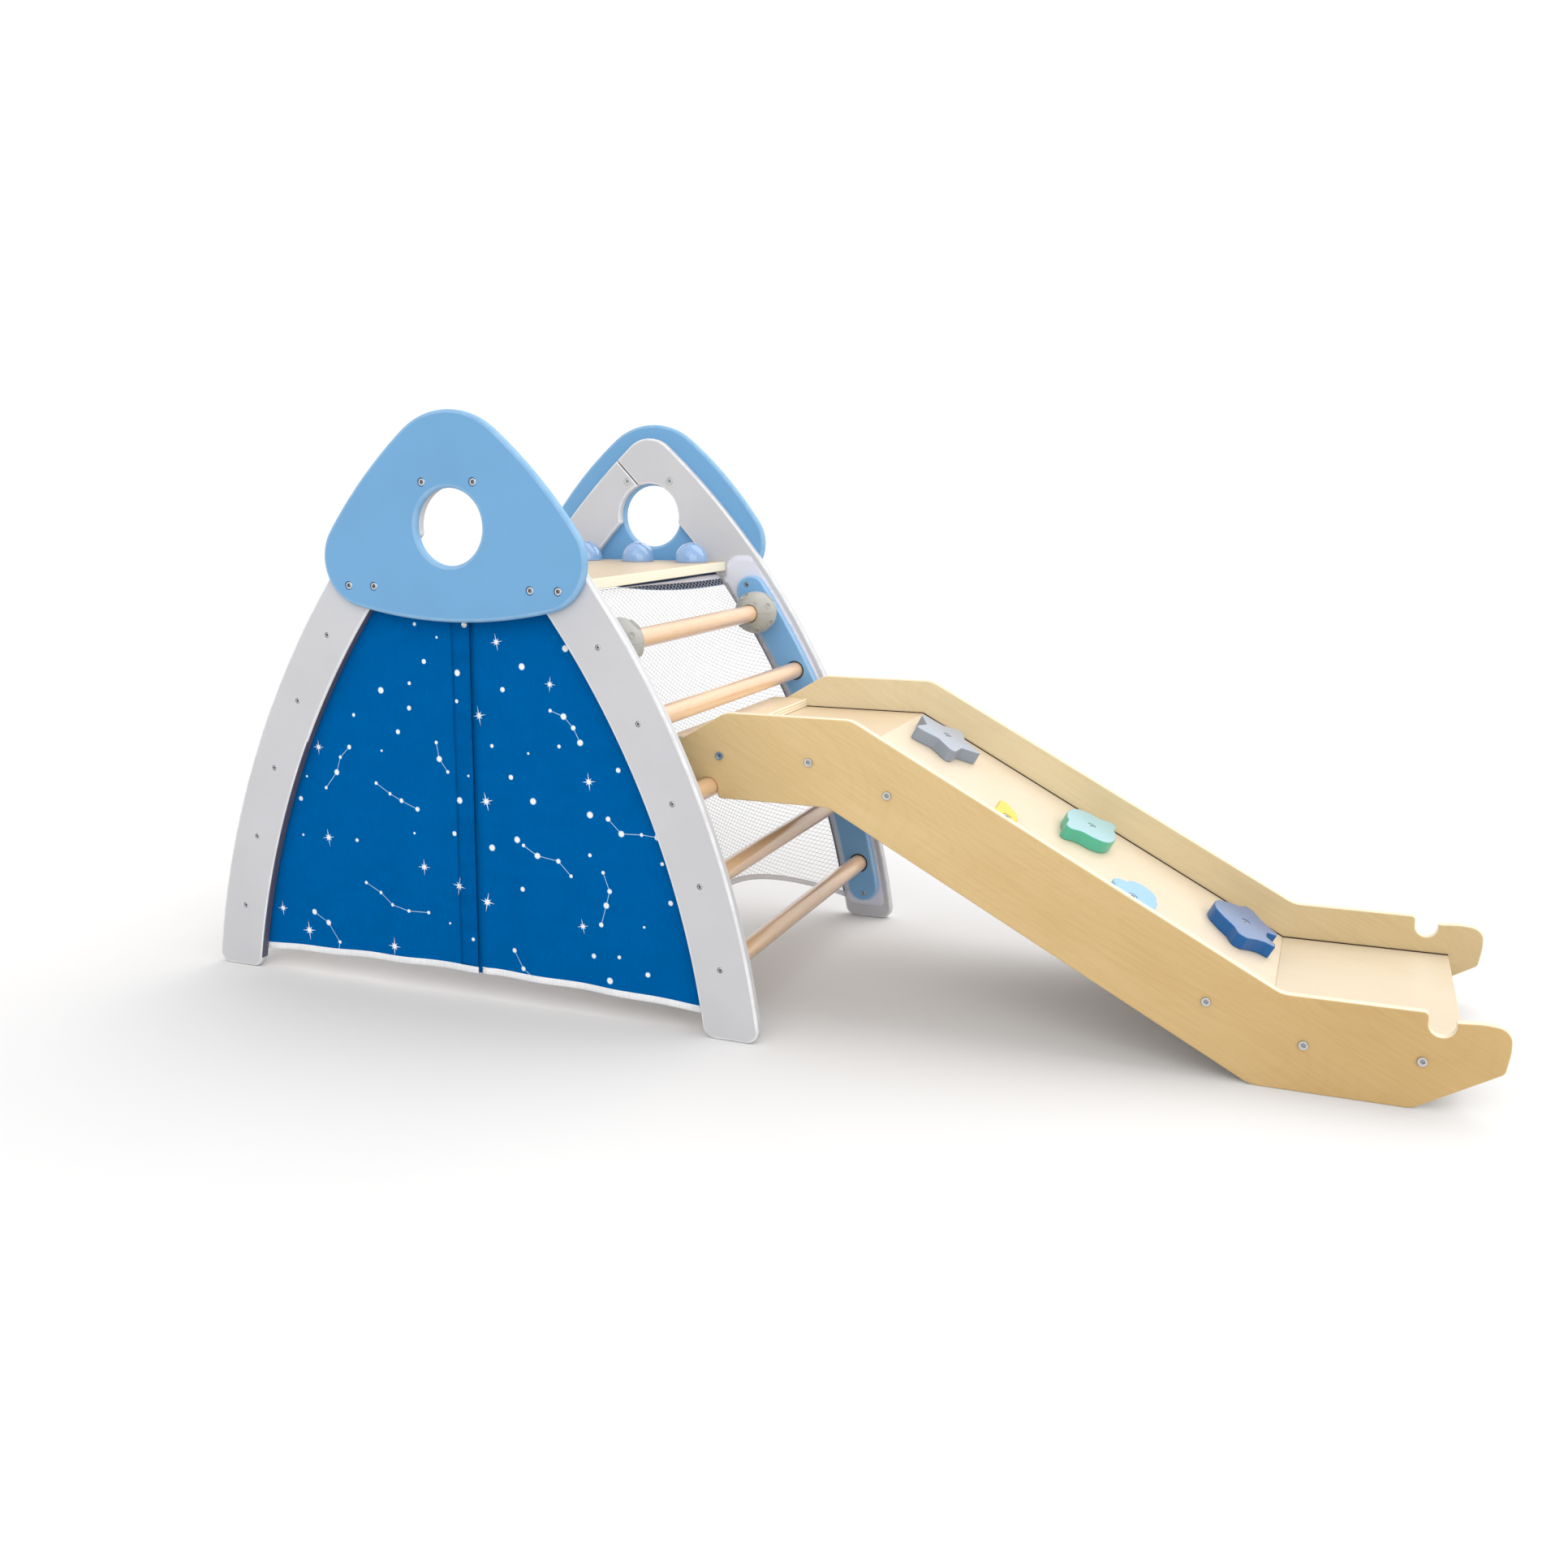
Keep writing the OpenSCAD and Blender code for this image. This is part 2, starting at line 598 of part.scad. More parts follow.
module at_moon(y) { stand() translate([rung_at(rung_count - 1).x, y, rung_at(rung_count - 1).y]) children(); }
module near_moon_upper() { at_moon(-moon_y) moon_half(false); }
module near_moon_lower() { at_moon(-moon_y) moon_half(true); }
module near_moon_screws() { at_moon(-moon_y) moon_screw_pair(); }
module far_moon_upper() { at_moon(moon_y) moon_half(false); }
module far_moon_lower() { at_moon(moon_y) moon_half(true); }
module far_moon_screws() { at_moon(moon_y) moon_screw_pair(); }

// edge tapes of the net, clamped between the right-hand legs and their rails
tape_ri = leg_radius - 40;
tape_ro = tape_ri + tape_w;
tape_notch = [board_w / 2 + 1.5, board_top - board_t - 11];
tape_in = leg_point(tape_ri, leg_angle(tape_ri, tape_low));
tape_out = leg_point(tape_ro, leg_angle(tape_ro, tape_low));
tape_line = clean(concat(
    arc(leg_c, tape_ro, leg_angle(tape_ro, tape_low + 8), leg_angle(tape_ro, tape_top - 9), 30),
    [[leg_x(tape_ro, tape_top - 9) - 4, tape_top - 3], [leg_x(tape_ro, tape_top - 9) - 11, tape_top]],
    [[tape_notch.x + 14, tape_top - 0.5], [tape_notch.x + 6, tape_top - 4]],
    [[tape_notch.x + 1.5, tape_top - 11], [tape_notch.x, tape_top - 20], tape_notch],
    arc(leg_c, tape_ri, leg_angle(tape_ri, tape_notch.y), leg_angle(tape_ri, tape_low + 8), 30),
    [tape_in + [7, 1], tape_in + [14, 0], tape_out + [-12, 0], tape_out + [-5, 1]]));

module near_tape() {
    color([0.85, 0.83, 0.88])
    difference() {
        upright(in_y, tape_t) polygon(tape_line);
        for (i = [0:rung_count - 1]) rod_y(rung_at(i), rung_d / 2 + rail_clear, in_y - 1, in_y + tape_t + 1);
        for (p = rail_screw_sites) rod_y(p, screw_r + fit, in_y - 1, in_y + tape_t + 1);
    }
}

module near_net_tape() { stand() near_tape(); }
module far_net_tape() { stand() far_side() near_tape(); }

// net: a sagging sheet with rows of openings between a closed row at the top and one at the bottom
net_half_y = -in_y - tape_t - fit;
net_top_a = leg_angle(tape_ri, net_top);
net_low_a = leg_angle(tape_ri, net_low);
net_rows = net_along + 2;
net_hem = 0.024;

function hump(u) = 1 - pow(2 * u - 1, 4);
function row_at(j) = j == 0 ? 0 : j == net_rows ? 1 : net_hem + (1 - 2 * net_hem) * (j - 1) / net_along;
function net_at(u, v, lift) =
    let (top = net_top_a - arc_deg(net_dip) * 4 * u * (1 - u))
    let (low = net_low_a + arc_deg(net_rise) * 4 * u * (1 - u))
    let (a = top + (low - top) * v)
    let (sag = net_sag * hump(u) * sin(90 * min(1, (net_top_a - a) / 13)))
    let (p = leg_point(tape_ri - 2 - sag + lift, a))
    [p.x, (2 * u - 1) * net_half_y, p.y];
function net_hole(i, j, k) =
    let (u0 = i / net_across, u1 = (i + 1) / net_across, v0 = row_at(j), v1 = row_at(j + 1))
    let (du = net_strand / (4 * net_half_y), dv = net_strand / 2 / (arc_len(net_top_a - net_low_a)))
    [k == 0 || k == 3 ? u0 + du : u1 - du, k < 2 ? v0 + dv : v1 - dv];
function net_rim(i, j, k, lift) = let (h = net_hole(i, j, k)) net_at(h.x, h.y, lift);
function arc_len(a) = a * leg_radius * PI / 180;

net_grid = (net_across + 1) * (net_rows + 1);
net_holes = net_across * net_along * 4;
function grid_no(i, j) = i * (net_rows + 1) + j;
function hole_no(i, j, k) = 2 * net_grid + (i * net_along + j - 1) * 4 + k % 4;
function cell_no(i, j, k) = grid_no(i + ((k % 4 == 1 || k % 4 == 2) ? 1 : 0), j + (k % 4 >= 2 ? 1 : 0));
function quad(a, b, c, d) = [[a, b, c], [a, c, d]];

net_points = concat(
    [for (i = [0:net_across], j = [0:net_rows]) net_at(i / net_across, row_at(j), 0)],
    [for (i = [0:net_across], j = [0:net_rows]) net_at(i / net_across, row_at(j), net_t)],
    [for (i = [0:net_across - 1], j = [1:net_along], k = [0:3]) net_rim(i, j, k, 0)],
    [for (i = [0:net_across - 1], j = [1:net_along], k = [0:3]) net_rim(i, j, k, net_t)]);
net_faces = concat(
    [for (i = [0:net_across - 1], j = [1:net_along], k = [0:3])
        each quad(cell_no(i, j, k), cell_no(i, j, k + 1), hole_no(i, j, k + 1), hole_no(i, j, k))],
    [for (i = [0:net_across - 1], j = [1:net_along], k = [0:3])
        each quad(net_grid + cell_no(i, j, k + 1), net_grid + cell_no(i, j, k),
            net_holes + hole_no(i, j, k), net_holes + hole_no(i, j, k + 1))],
    [for (i = [0:net_across - 1], j = [1:net_along], k = [0:3])
        each quad(hole_no(i, j, k), hole_no(i, j, k + 1),
            net_holes + hole_no(i, j, k + 1), net_holes + hole_no(i, j, k))],
    [for (i = [0:net_across - 1], j = [0, net_rows - 1])
        each quad(cell_no(i, j, 0), cell_no(i, j, 1), cell_no(i, j, 2), cell_no(i, j, 3))],
    [for (i = [0:net_across - 1], j = [0, net_rows - 1])
        each quad(net_grid + cell_no(i, j, 3), net_grid + cell_no(i, j, 2), net_grid + cell_no(i, j, 1),
            net_grid + cell_no(i, j, 0))],
    rim_faces(net_across, net_rows, net_grid));

// side walls of a thick sheet whose back points follow its front points
function rim_faces(nu, nv, back_no) = concat(
    [for (i = [0:nu - 1]) each quad(i * (nv + 1), back_no + i * (nv + 1),
        back_no + (i + 1) * (nv + 1), (i + 1) * (nv + 1))],
    [for (i = [0:nu - 1]) each quad((i + 1) * (nv + 1) + nv, back_no + (i + 1) * (nv + 1) + nv,
        back_no + i * (nv + 1) + nv, i * (nv + 1) + nv)],
    [for (j = [0:nv - 1]) each quad(j + 1, back_no + j + 1, back_no + j, j)],
    [for (j = [0:nv - 1]) each quad(nu * (nv + 1) + j, back_no + nu * (nv + 1) + j,
        back_no + nu * (nv + 1) + j + 1, nu * (nv + 1) + j + 1)]);

module net_panel() {
    color([0.9, 0.9, 0.93])
    stand() polyhedron(net_points, net_faces, 4);
}

// curtain: two hanging halves, the left one lapping over the right one at the parting
cloth_edge_l = leg_radius - rail_w / 2 - 3;
cloth_edge_r = tape_ri - 1.5;
cloth_nu = 24;
cloth_nv = 8;

function cloth_z(x, v) =
    let (low = cloth_low + cloth_rise * (1 - pow(x / leg_x(ri, cloth_low), 2)))
    cloth_top + (low - cloth_top) * v;
function cloth_y(u, v, flat) = cloth_fold * v * pow(sin(180 * cloth_folds * u), 2) * (1 - pow(flat, 6));
function cloth_left(u, v, t) =
    let (z = cloth_top + (cloth_low - cloth_top) * v, x0 = -leg_x(cloth_edge_l, z))
    let (x = x0 + (cloth_split - x0) * u)
    [x, in_y + t + cloth_y(u, v, 1 - u), cloth_z(x, v)];
function cloth_right(u, v, t) =
    let (z = cloth_top + (cloth_low - cloth_top) * v, x1 = leg_x(cloth_edge_r, z))
    let (x0 = cloth_split - cloth_lap)
    let (x = x0 + (x1 - x0) * u, step = (cloth_t + fit) * max(0, min(1, (cloth_split + 14 - x) / 12)))
    let (own = cloth_y(u, v, u), left_w = leg_x(cloth_edge_l, z))
    let (lap = cloth_y((x + left_w) / (cloth_split + left_w), v, 0))
    [x, in_y + t + step + (x < cloth_split ? lap : own), cloth_z(x, v)];

module cloth_sheet(front, rear) {
    n = (cloth_nu + 1) * (cloth_nv + 1);
    polyhedron(concat(front, rear), concat(
        [for (i = [0:cloth_nu - 1], j = [0:cloth_nv - 1])
            each quad(cloth_no(i, j), cloth_no(i, j + 1), cloth_no(i + 1, j + 1), cloth_no(i + 1, j))],
        [for (i = [0:cloth_nu - 1], j = [0:cloth_nv - 1])
            each quad(n + cloth_no(i + 1, j), n + cloth_no(i + 1, j + 1),
                n + cloth_no(i, j + 1), n + cloth_no(i, j))],
        [for (f = rim_faces(cloth_nu, cloth_nv, n)) [f[2], f[1], f[0]]]), 4);
}
function cloth_no(i, j) = i * (cloth_nv + 1) + j;

module curtain_left() {
    color([0.0, 0.36, 0.63])
    stand()
    cloth_sheet([for (i = [0:cloth_nu], j = [0:cloth_nv]) cloth_left(i / cloth_nu, j / cloth_nv, 0)],
        [for (i = [0:cloth_nu], j = [0:cloth_nv]) cloth_left(i / cloth_nu, j / cloth_nv, cloth_t)]);
}

module curtain_right() {
    color([0.0, 0.36, 0.63])
    stand()
    cloth_sheet([for (i = [0:cloth_nu], j = [0:cloth_nv]) cloth_right(i / cloth_nu, j / cloth_nv, 0)],
        [for (i = [0:cloth_nu], j = [0:cloth_nv]) cloth_right(i / cloth_nu, j / cloth_nv, cloth_t)]);
}

// press snap that closes the parting under the nose plate
module curtain_snap() {
    color([0.8, 0.82, 0.85])
    stand() rod_y([cloth_split - 8, cloth_top - 36], 5, in_y - 1.6, in_y);
}

// fasteners of the tower
module nose_bolts() {
    color([0.75, 0.75, 0.76])
    stand() both_sides() {
        for (p = plate_bolts)
            socket_bolt(p, nose_y + head_sink, p.y == board_z && abs(p.x) == board_bolt.x
                ? in_y + barrel_in + 12 : in_y - flange_t);
    }
}

module sleeve_nuts() {
    color([0.75, 0.75, 0.76])
    stand() both_sides()
    for (p = [crown_bolt, leg_bolt], s = [1, -1])
        difference() {
            union() {
                rod_y([s * p.x, p.y], sleeve_r, leg_y + 4, in_y);
                rod_y([s * p.x, p.y], flange_r, in_y - flange_t, in_y);
            }
            rod_y([s * p.x, p.y], bolt_r + fit, leg_y, in_y - flange_t + 0.5);
        }
}

module board_nuts() {
    color([0.75, 0.75, 0.76])
    stand() both_sides()
    for (s = [1, -1])
        difference() {
            translate([s * board_bolt.x, in_y + barrel_in, board_z - barrel_len / 2])
                cylinder(r = barrel_r, h = barrel_len);
            rod_y([s * board_bolt.x, board_z], bolt_r + fit, in_y, in_y + 2 * barrel_in);
        }
}

module rung_screws() {
    color([0.75, 0.75, 0.76])
    stand() both_sides()
    for (i = [0:rung_count - 1], s = [1, -1])
        socket_bolt([s * rung_at(i).x, rung_at(i).y], leg_y + head_sink, in_y + rung_screw_len,
            screw_r, screw_head_r);
}

module rail_screws() {
    color([0.75, 0.75, 0.76])
    stand() both_sides()
    for (p = rail_screw_sites, s = [1, -1]) {
        y1 = in_y + rail_t + (s > 0 ? tape_t : 0);
        difference() {
            union() {
                rod_y([s * p.x, p.y], rail_head_r, y1 - head_t, y1 - head_t * 0.2);
                rod_y([s * p.x, p.y], screw_r, in_y - leg_t * 0.6, y1 - head_t / 2);
            }
            translate([s * p.x, y1 - head_t * 0.6, p.y]) rotate([-90, 0, 0])
                cylinder(r = screw_r * 0.75, h = head_t, $fn = 6);
        }
    }
}

// side panels of the slide: the lower end is the upper end turned half round
hook_c = [-hook_reach, hook_at.y - slide_mid.y - (hook_r - rung_d / 2 - fit)];
hook_half = hook_r - 0.15;
panel_half = [knee_base, [hook_c.x + hook_half, knee_base.y], hook_c + [hook_half, 0],
    hook_c - [hook_half, 0], [hook_c.x - hook_half, knee_base.y + 10], [-hook_reach - 49, knee_base.y + 7.5],
    [-tip_x, knee_base.y + 10.5], [-tip_x, knee_base.y + 42], [-tip_x + 5, knee_base.y + 72.5],
    [-hook_reach + 30, knee_top.y], knee_top];
panel_radii = [40, hook_mouth, 0, 0, 1.5, 90, 20, 60, 12, 35, 40];
panel_line = clean(rounded(concat(panel_half, -panel_half), concat(panel_radii, panel_radii)));

// a point in the slide's side view: a start, the board's lean, and the distance along its top and below it
function bed_point(site, below) =
    site[0] + site[2] * [cos(site[1]), -sin(site[1])] - below * [sin(site[1]), cos(site[1])];

module side_panel(y) {
    color([0.85, 0.72, 0.48])
    slide_place()
    difference() {
        upright(y, panel_t) polygon(panel_line);
        for (p = [hook_c, -hook_c]) rod_y(p, hook_r, y - 1, y + panel_t + 1);
        for (b = bed_bolts) rod_y(bed_point(b, bed_t / 2), bolt_r + fit, y - 1, y + panel_t + 1);
    }
}

module slide_near_panel() { side_panel(-slide_w / 2); }
module slide_far_panel() { side_panel(slide_w / 2 - panel_t); }

// bed boards, mitred at the two bends, with edge bolts into barrel nuts
module bed(line, sites) {
    color([0.96, 0.89, 0.8])
    slide_place()
    difference() {
        upright(-inner_w / 2, inner_w) polygon(line);
        for (b = sites)
            both_sides() {
                p = bed_point(b, bed_t / 2);
                rod_y(p, bolt_r + fit, -inner_w / 2 - 1, -inner_w / 2 + barrel_in + 15);
                translate([p.x, -inner_w / 2 + barrel_in, p.y]) rotate([0, b[1], 0])
                    translate([0, 0, -bed_t]) cylinder(r = barrel_r + fit, h = bed_t + barrel_len / 2 + fit);
            }
        children();
    }
}

mitre = [-bed_t * knee_lean, -bed_t];
module upper_bed() {
    bed([bed_knee, bed_knee + mitre, [bed_start, bed_knee.y - bed_t], [bed_start, bed_knee.y]],
        [bed_bolts[0], bed_bolts[1]]);
}
module slope_bed() {
    bed([bed_knee, bed_foot, bed_foot + mitre, bed_knee + mitre], [bed_bolts[2], bed_bolts[3]])
        translate([bed_knee.x, 0, bed_knee.y]) rotate([0, slope, 0])
        for (h = hold_at) translate([h[0], h[1], -bed_t - 1]) {
            cylinder(r = bolt_r + 1 + fit, h = bed_t + 2);
            cylinder(r = barrel_r + 0.5 + fit, h = 13 + fit);
        }
}
module lower_bed() {
    bed([bed_foot, [bed_end, bed_foot.y], [bed_end, bed_foot.y - bed_t], bed_foot + mitre],
        [bed_bolts[4], bed_bolts[5]]);
}

module stop_batten() {
    color([0.96, 0.89, 0.8])
    slide_place() translate([bed_start, -inner_w / 2, bed_knee.y]) cube([batten_w, inner_w, batten_t]);
}

// climbing holds, each on one bolt; their outlines lie along the slope in x and across it in y
module hold(k, tint) {
    color(tint)
    on_slope()
    translate([hold_at[k][0], hold_at[k][1], 0])
    difference() {
        linear_extrude(hold_t) children();
        translate([0, 0, -1]) cylinder(r = bolt_r + 1 + fit, h = hold_t + 2);
        translate([0, 0, hold_t - head_t - hold_sink]) cylinder(r = head_r + 2 * fit, h = hold_t);
    }
}

star_line = [for (i = [0:9])
    let (a = 11 + 36 * i, r = i % 2 == 0 ? star_r : star_r * 0.556)
    r * [cos(a), 1.15 * sin(a)]];
star_radii = [for (i = [0:9]) i % 2 == 0 ? 9 : 8];
saucer_half = [[38, 12], [54, 24], [55, 39], [38, 44], [24, 58], [9, 80], [-6, 83.5], [-16, 60], [-33, 47],
    [-51, 27], [-55.5, 8]];
saucer_line = concat(saucer_half, [for (i = [10:-1:0]) [saucer_half[i].x, -saucer_half[i].y]]);
saucer_half_radii = [6, 4, 5, 10, 20, 8, 8, 12, 30, 30, 30];
saucer_radii = concat(saucer_half_radii, [for (i = [10:-1:0]) saucer_half_radii[i]]);

module star_hold() { hold(0, [0.7, 0.75, 0.82]) polygon(clean(rounded(star_line, star_radii))); }
module moon_hold() {
    hold(1, [0.98, 0.88, 0.32]) {
        intersection() {
            difference() {
                translate([-39, 7]) circle(r = 56);
                translate([-322, 7]) circle(r = 300);
            }
            translate([-60, -41]) square([100, 96]);
        }
        for (s = [1, -1]) translate([-16, 7 + 45 * s]) circle(r = 8.5);
    }
}
module planet_hold() {
    hold(2, [0.45, 0.74, 0.6]) {
        polygon([for (a = [0:7.5:359]) planet_r * [cos(a) * 0.96, sin(a) * 1.27]]);
        rotate(-16.5) translate([-10, -planet_ring / 2 + 10]) square([20, planet_ring - 20]);
        rotate(-16.5) for (s = [1, -1]) translate([0, s * (planet_ring / 2 - 10)]) circle(r = 10);
    }
}
module cloud_hold() {
    hold(3, [0.7, 0.88, 0.97]) {
        for (s = [1, -1]) {
            translate([8, 50 * s]) circle(r = 25);
            translate([13, 30 * s]) circle(r = 24.5);
            translate([-9, 20 * s]) circle(r = 28.5);
        }
        translate([-9, -30]) square([46.5, 60]);
    }
}
module saucer_hold() { hold(4, [0.05, 0.36, 0.63]) polygon(clean(rounded(saucer_line, saucer_radii, 6))); }

module hold_bolts() {
    color([0.75, 0.75, 0.76])
    on_slope()
    for (h = hold_at)
        translate([h[0], h[1], 0])
        difference() {
            union() {
                translate([0, 0, hold_t - head_t - hold_sink]) cylinder(r = head_r, h = head_t);
                translate([0, 0, -bed_t + 1]) cylinder(r = bolt_r + 1, h = hold_t + bed_t - 3 - hold_sink);
            }
            translate([0, 0, hold_t - hold_sink - head_t * 0.6])
                cylinder(r = bolt_r * 0.9, h = head_t, $fn = 6);
        }
}

// flanged nuts let into the underside of the slope
module hold_nuts() {
    color([0.75, 0.75, 0.76])
    on_slope()
    for (h = hold_at)
        translate([h[0], h[1], -bed_t])
        difference() {
            union() {
                translate([0, 0, -flange_t]) cylinder(r = barrel_r * 2.2, h = flange_t);
                translate([0, 0, -1]) cylinder(r = barrel_r + 0.5, h = 13);
            }
            translate([0, 0, -flange_t - 1]) cylinder(r = bolt_r + 1 + fit, h = 20);
        }
}

module slide_bolts() {
    color([0.85, 0.83, 0.78])
    slide_place() both_sides()
    for (b = bed_bolts) {
        p = bed_point(b, bed_t / 2);
        socket_bolt(p, -slide_w / 2 - head_t, -inner_w / 2 + barrel_in + 12);
    }
}

module slide_nuts() {
    color([0.75, 0.75, 0.76])
    slide_place() both_sides()
    for (b = bed_bolts) {
        p = bed_point(b, bed_t / 2);
        difference() {
            translate([p.x, -inner_w / 2 + barrel_in, p.y]) rotate([0, b[1], 0])
                translate([0, 0, -barrel_len / 2]) cylinder(r = barrel_r, h = barrel_len);
            rod_y(p, bolt_r + fit, -inner_w / 2, -inner_w / 2 + 2 * barrel_in);
        }
    }
}

near_left_leg();
near_right_leg();
far_left_leg();
far_right_leg();
near_nose_plate();
far_nose_plate();
near_left_rail();
near_right_rail();
far_left_rail();
far_right_rail();
right_rung_1();
right_rung_2();
right_rung_3();
right_rung_4();
right_rung_5();
left_rung_1();
left_rung_2();
left_rung_3();
left_rung_4();
left_rung_5();
console_board();
dome_left();
dome_middle();
dome_right();
dome_bolt_left();
dome_bolt_middle();
dome_bolt_right();
near_moon_upper();
near_moon_lower();
near_moon_screws();
far_moon_upper();
far_moon_lower();
far_moon_screws();
near_net_tape();
far_net_tape();
net_panel();
curtain_left();
curtain_right();
curtain_snap();
nose_bolts();
sleeve_nuts();
board_nuts();
rung_screws();
rail_screws();
slide_near_panel();
slide_far_panel();
upper_bed();
slope_bed();
lower_bed();
stop_batten();
star_hold();
moon_hold();
planet_hold();
cloud_hold();
saucer_hold();
hold_bolts();
hold_nuts();
slide_bolts();
slide_nuts();
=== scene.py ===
import json
import math
import random

import bmesh
import bpy
from mathutils import Matrix, Vector, noise
from mathutils.geometry import delaunay_2d_cdt


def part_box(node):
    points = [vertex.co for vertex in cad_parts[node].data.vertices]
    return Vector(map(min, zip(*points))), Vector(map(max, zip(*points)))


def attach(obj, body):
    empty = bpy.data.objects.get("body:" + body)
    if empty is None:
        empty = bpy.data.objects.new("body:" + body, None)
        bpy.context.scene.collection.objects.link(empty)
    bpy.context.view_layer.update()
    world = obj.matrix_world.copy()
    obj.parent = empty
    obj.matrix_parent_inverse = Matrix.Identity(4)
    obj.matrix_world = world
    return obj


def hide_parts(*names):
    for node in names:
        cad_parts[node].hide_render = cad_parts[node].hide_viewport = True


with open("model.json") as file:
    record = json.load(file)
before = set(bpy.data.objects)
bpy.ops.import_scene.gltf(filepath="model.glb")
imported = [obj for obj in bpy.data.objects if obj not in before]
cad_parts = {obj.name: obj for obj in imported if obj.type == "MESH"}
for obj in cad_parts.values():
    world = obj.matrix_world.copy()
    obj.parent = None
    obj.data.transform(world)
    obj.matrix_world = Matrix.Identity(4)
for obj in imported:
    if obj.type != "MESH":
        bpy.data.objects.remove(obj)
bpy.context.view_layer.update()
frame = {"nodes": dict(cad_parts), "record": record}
NODES = frame["nodes"]
BODY_OF = {node: body for body, nodes in frame["record"]["behaviour"]["bodies"].items() for node in nodes}
MM = 0.001
WELD, TOUCH = 1e-5, 1e-4
FLAT_ANGLE, ROUND_ANGLE, SHARP_ANGLE = math.radians(0.2), math.radians(32), math.radians(50)
CREASE = 40


def middle_of(node):
    low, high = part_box(node)
    return (low + high) / 2


# sizes of the gym in millimetres, measured from the tower's middle on the floor
TOWER_X = middle_of("near_nose_plate").x / MM
LEG_RADIUS = 1428.0
LEG_FOOT_X, LEG_PEAK_Z = 468.7, 881.8
LEG_CHORD = math.hypot(LEG_FOOT_X, LEG_PEAK_Z)
LEG_REACH = math.sqrt(LEG_RADIUS ** 2 - LEG_CHORD ** 2 / 4)
LEG_CENTRE = (LEG_FOOT_X / 2 - LEG_REACH * LEG_PEAK_Z / LEG_CHORD, LEG_PEAK_Z / 2 - LEG_REACH * LEG_FOOT_X / LEG_CHORD)
LEG_HALF = 45.5
INNER_Y = 344.0
TAPE_T = 1.5
TAPE_INNER = LEG_RADIUS - 40
TAPE_OUTER = TAPE_INNER + 74
TAPE_LOW, TAPE_TOP = 24.0, 697.0
RUNG_R = 16.0
RAIL_CLEAR = 1.5
NET_TOP, NET_LOW, NET_RISE, NET_SAG = 652.0, 36.0, 120.0, 95.0
CLOTH_T = 1.2
CLOTH_TOP, CLOTH_LOW, CLOTH_RISE = 652.0, 31.0, 10.0
CLOTH_SPLIT, CLOTH_LAP, CLOTH_FOLD, CLOTH_FOLDS = 12.0, 36.0, 5.0, 3
PLACKET, PLACKET_T, PARTING_DEPTH = 34.0, 0.8, 4.0
CLOTH_EDGE_LEFT = LEG_RADIUS - 32
CLOTH_EDGE_RIGHT = TAPE_INNER - 1.5
HEM, HEM_SEAM = 11.0, 2.0
CLEAR = 0.3
SLOPE = math.radians(28.7195)


def leg_point(radius, angle):
    return LEG_CENTRE[0] + radius * math.cos(angle), LEG_CENTRE[1] + radius * math.sin(angle)


def leg_angle(radius, z):
    return math.asin((z - LEG_CENTRE[1]) / radius)


def leg_x(radius, z):
    return leg_point(radius, leg_angle(radius, z))[0]


def in_model(x, y, z):
    """A point of the tower, in millimetres, as a point of the model."""
    return (x + TOWER_X) * MM, y * MM, z * MM


# node trees

def add(tree, kind, props=None, **inputs):
    """A new node; its inputs are values or sockets, by name with _ for a space, or i0, i1 by place."""
    node = tree.nodes.new(kind)
    for key, value in (props or {}).items():
        setattr(node, key, value)
    for key, value in inputs.items():
        socket = node.inputs[int(key[1:]) if key[0] == "i" and key[1:].isdigit() else key.replace("_", " ")]
        if isinstance(value, bpy.types.NodeSocket):
            tree.links.new(value, socket)
        else:
            socket.default_value = value
    return node


def sums(tree, operation, a, b=0.0, c=0.0, clamp=False):
    return add(tree, "ShaderNodeMath", {"operation": operation, "use_clamp": clamp}, i0=a, i1=b, i2=c).outputs[0]


def vector(tree, operation, a, b):
    node = add(tree, "ShaderNodeVectorMath", {"operation": operation}, i0=a, i1=b)
    return node.outputs["Value" if operation == "DOT_PRODUCT" else "Vector"]


def blended(tree, share, a, b, kind="MIX"):
    return add(tree, "ShaderNodeMix", {"data_type": "RGBA", "blend_type": kind}, i0=share, i6=a, i7=b).outputs[2]


def cloudy(tree, where, scale, detail=2.0, roughness=0.5, distortion=0.0):
    return add(tree, "ShaderNodeTexNoise", Vector=where, Scale=scale, Detail=detail, Roughness=roughness,
               Distortion=distortion).outputs[0]


def ranged(tree, value, low, high, to_low=0.0, to_high=1.0):
    return add(tree, "ShaderNodeMapRange", {"interpolation_type": "SMOOTHSTEP"}, Value=value, From_Min=low,
               From_Max=high, To_Min=to_low, To_Max=to_high).outputs[0]


def effect(name, inputs, outputs):
    """An empty shader group with named sockets: the tree, its input node and its output node."""
    tree = bpy.data.node_groups.new(name, "ShaderNodeTree")
    for socket, kind, value in inputs:
        made = tree.interface.new_socket(name=socket, in_out="INPUT", socket_type=kind)
        if value is not None:
            made.default_value = value
    for socket, kind in outputs:
        tree.interface.new_socket(name=socket, in_out="OUTPUT", socket_type=kind)
    return tree, tree.nodes.new("NodeGroupInput").outputs, tree.nodes.new("NodeGroupOutput").inputs


VECTOR, FLOAT = "NodeSocketVector", "NodeSocketFloat"


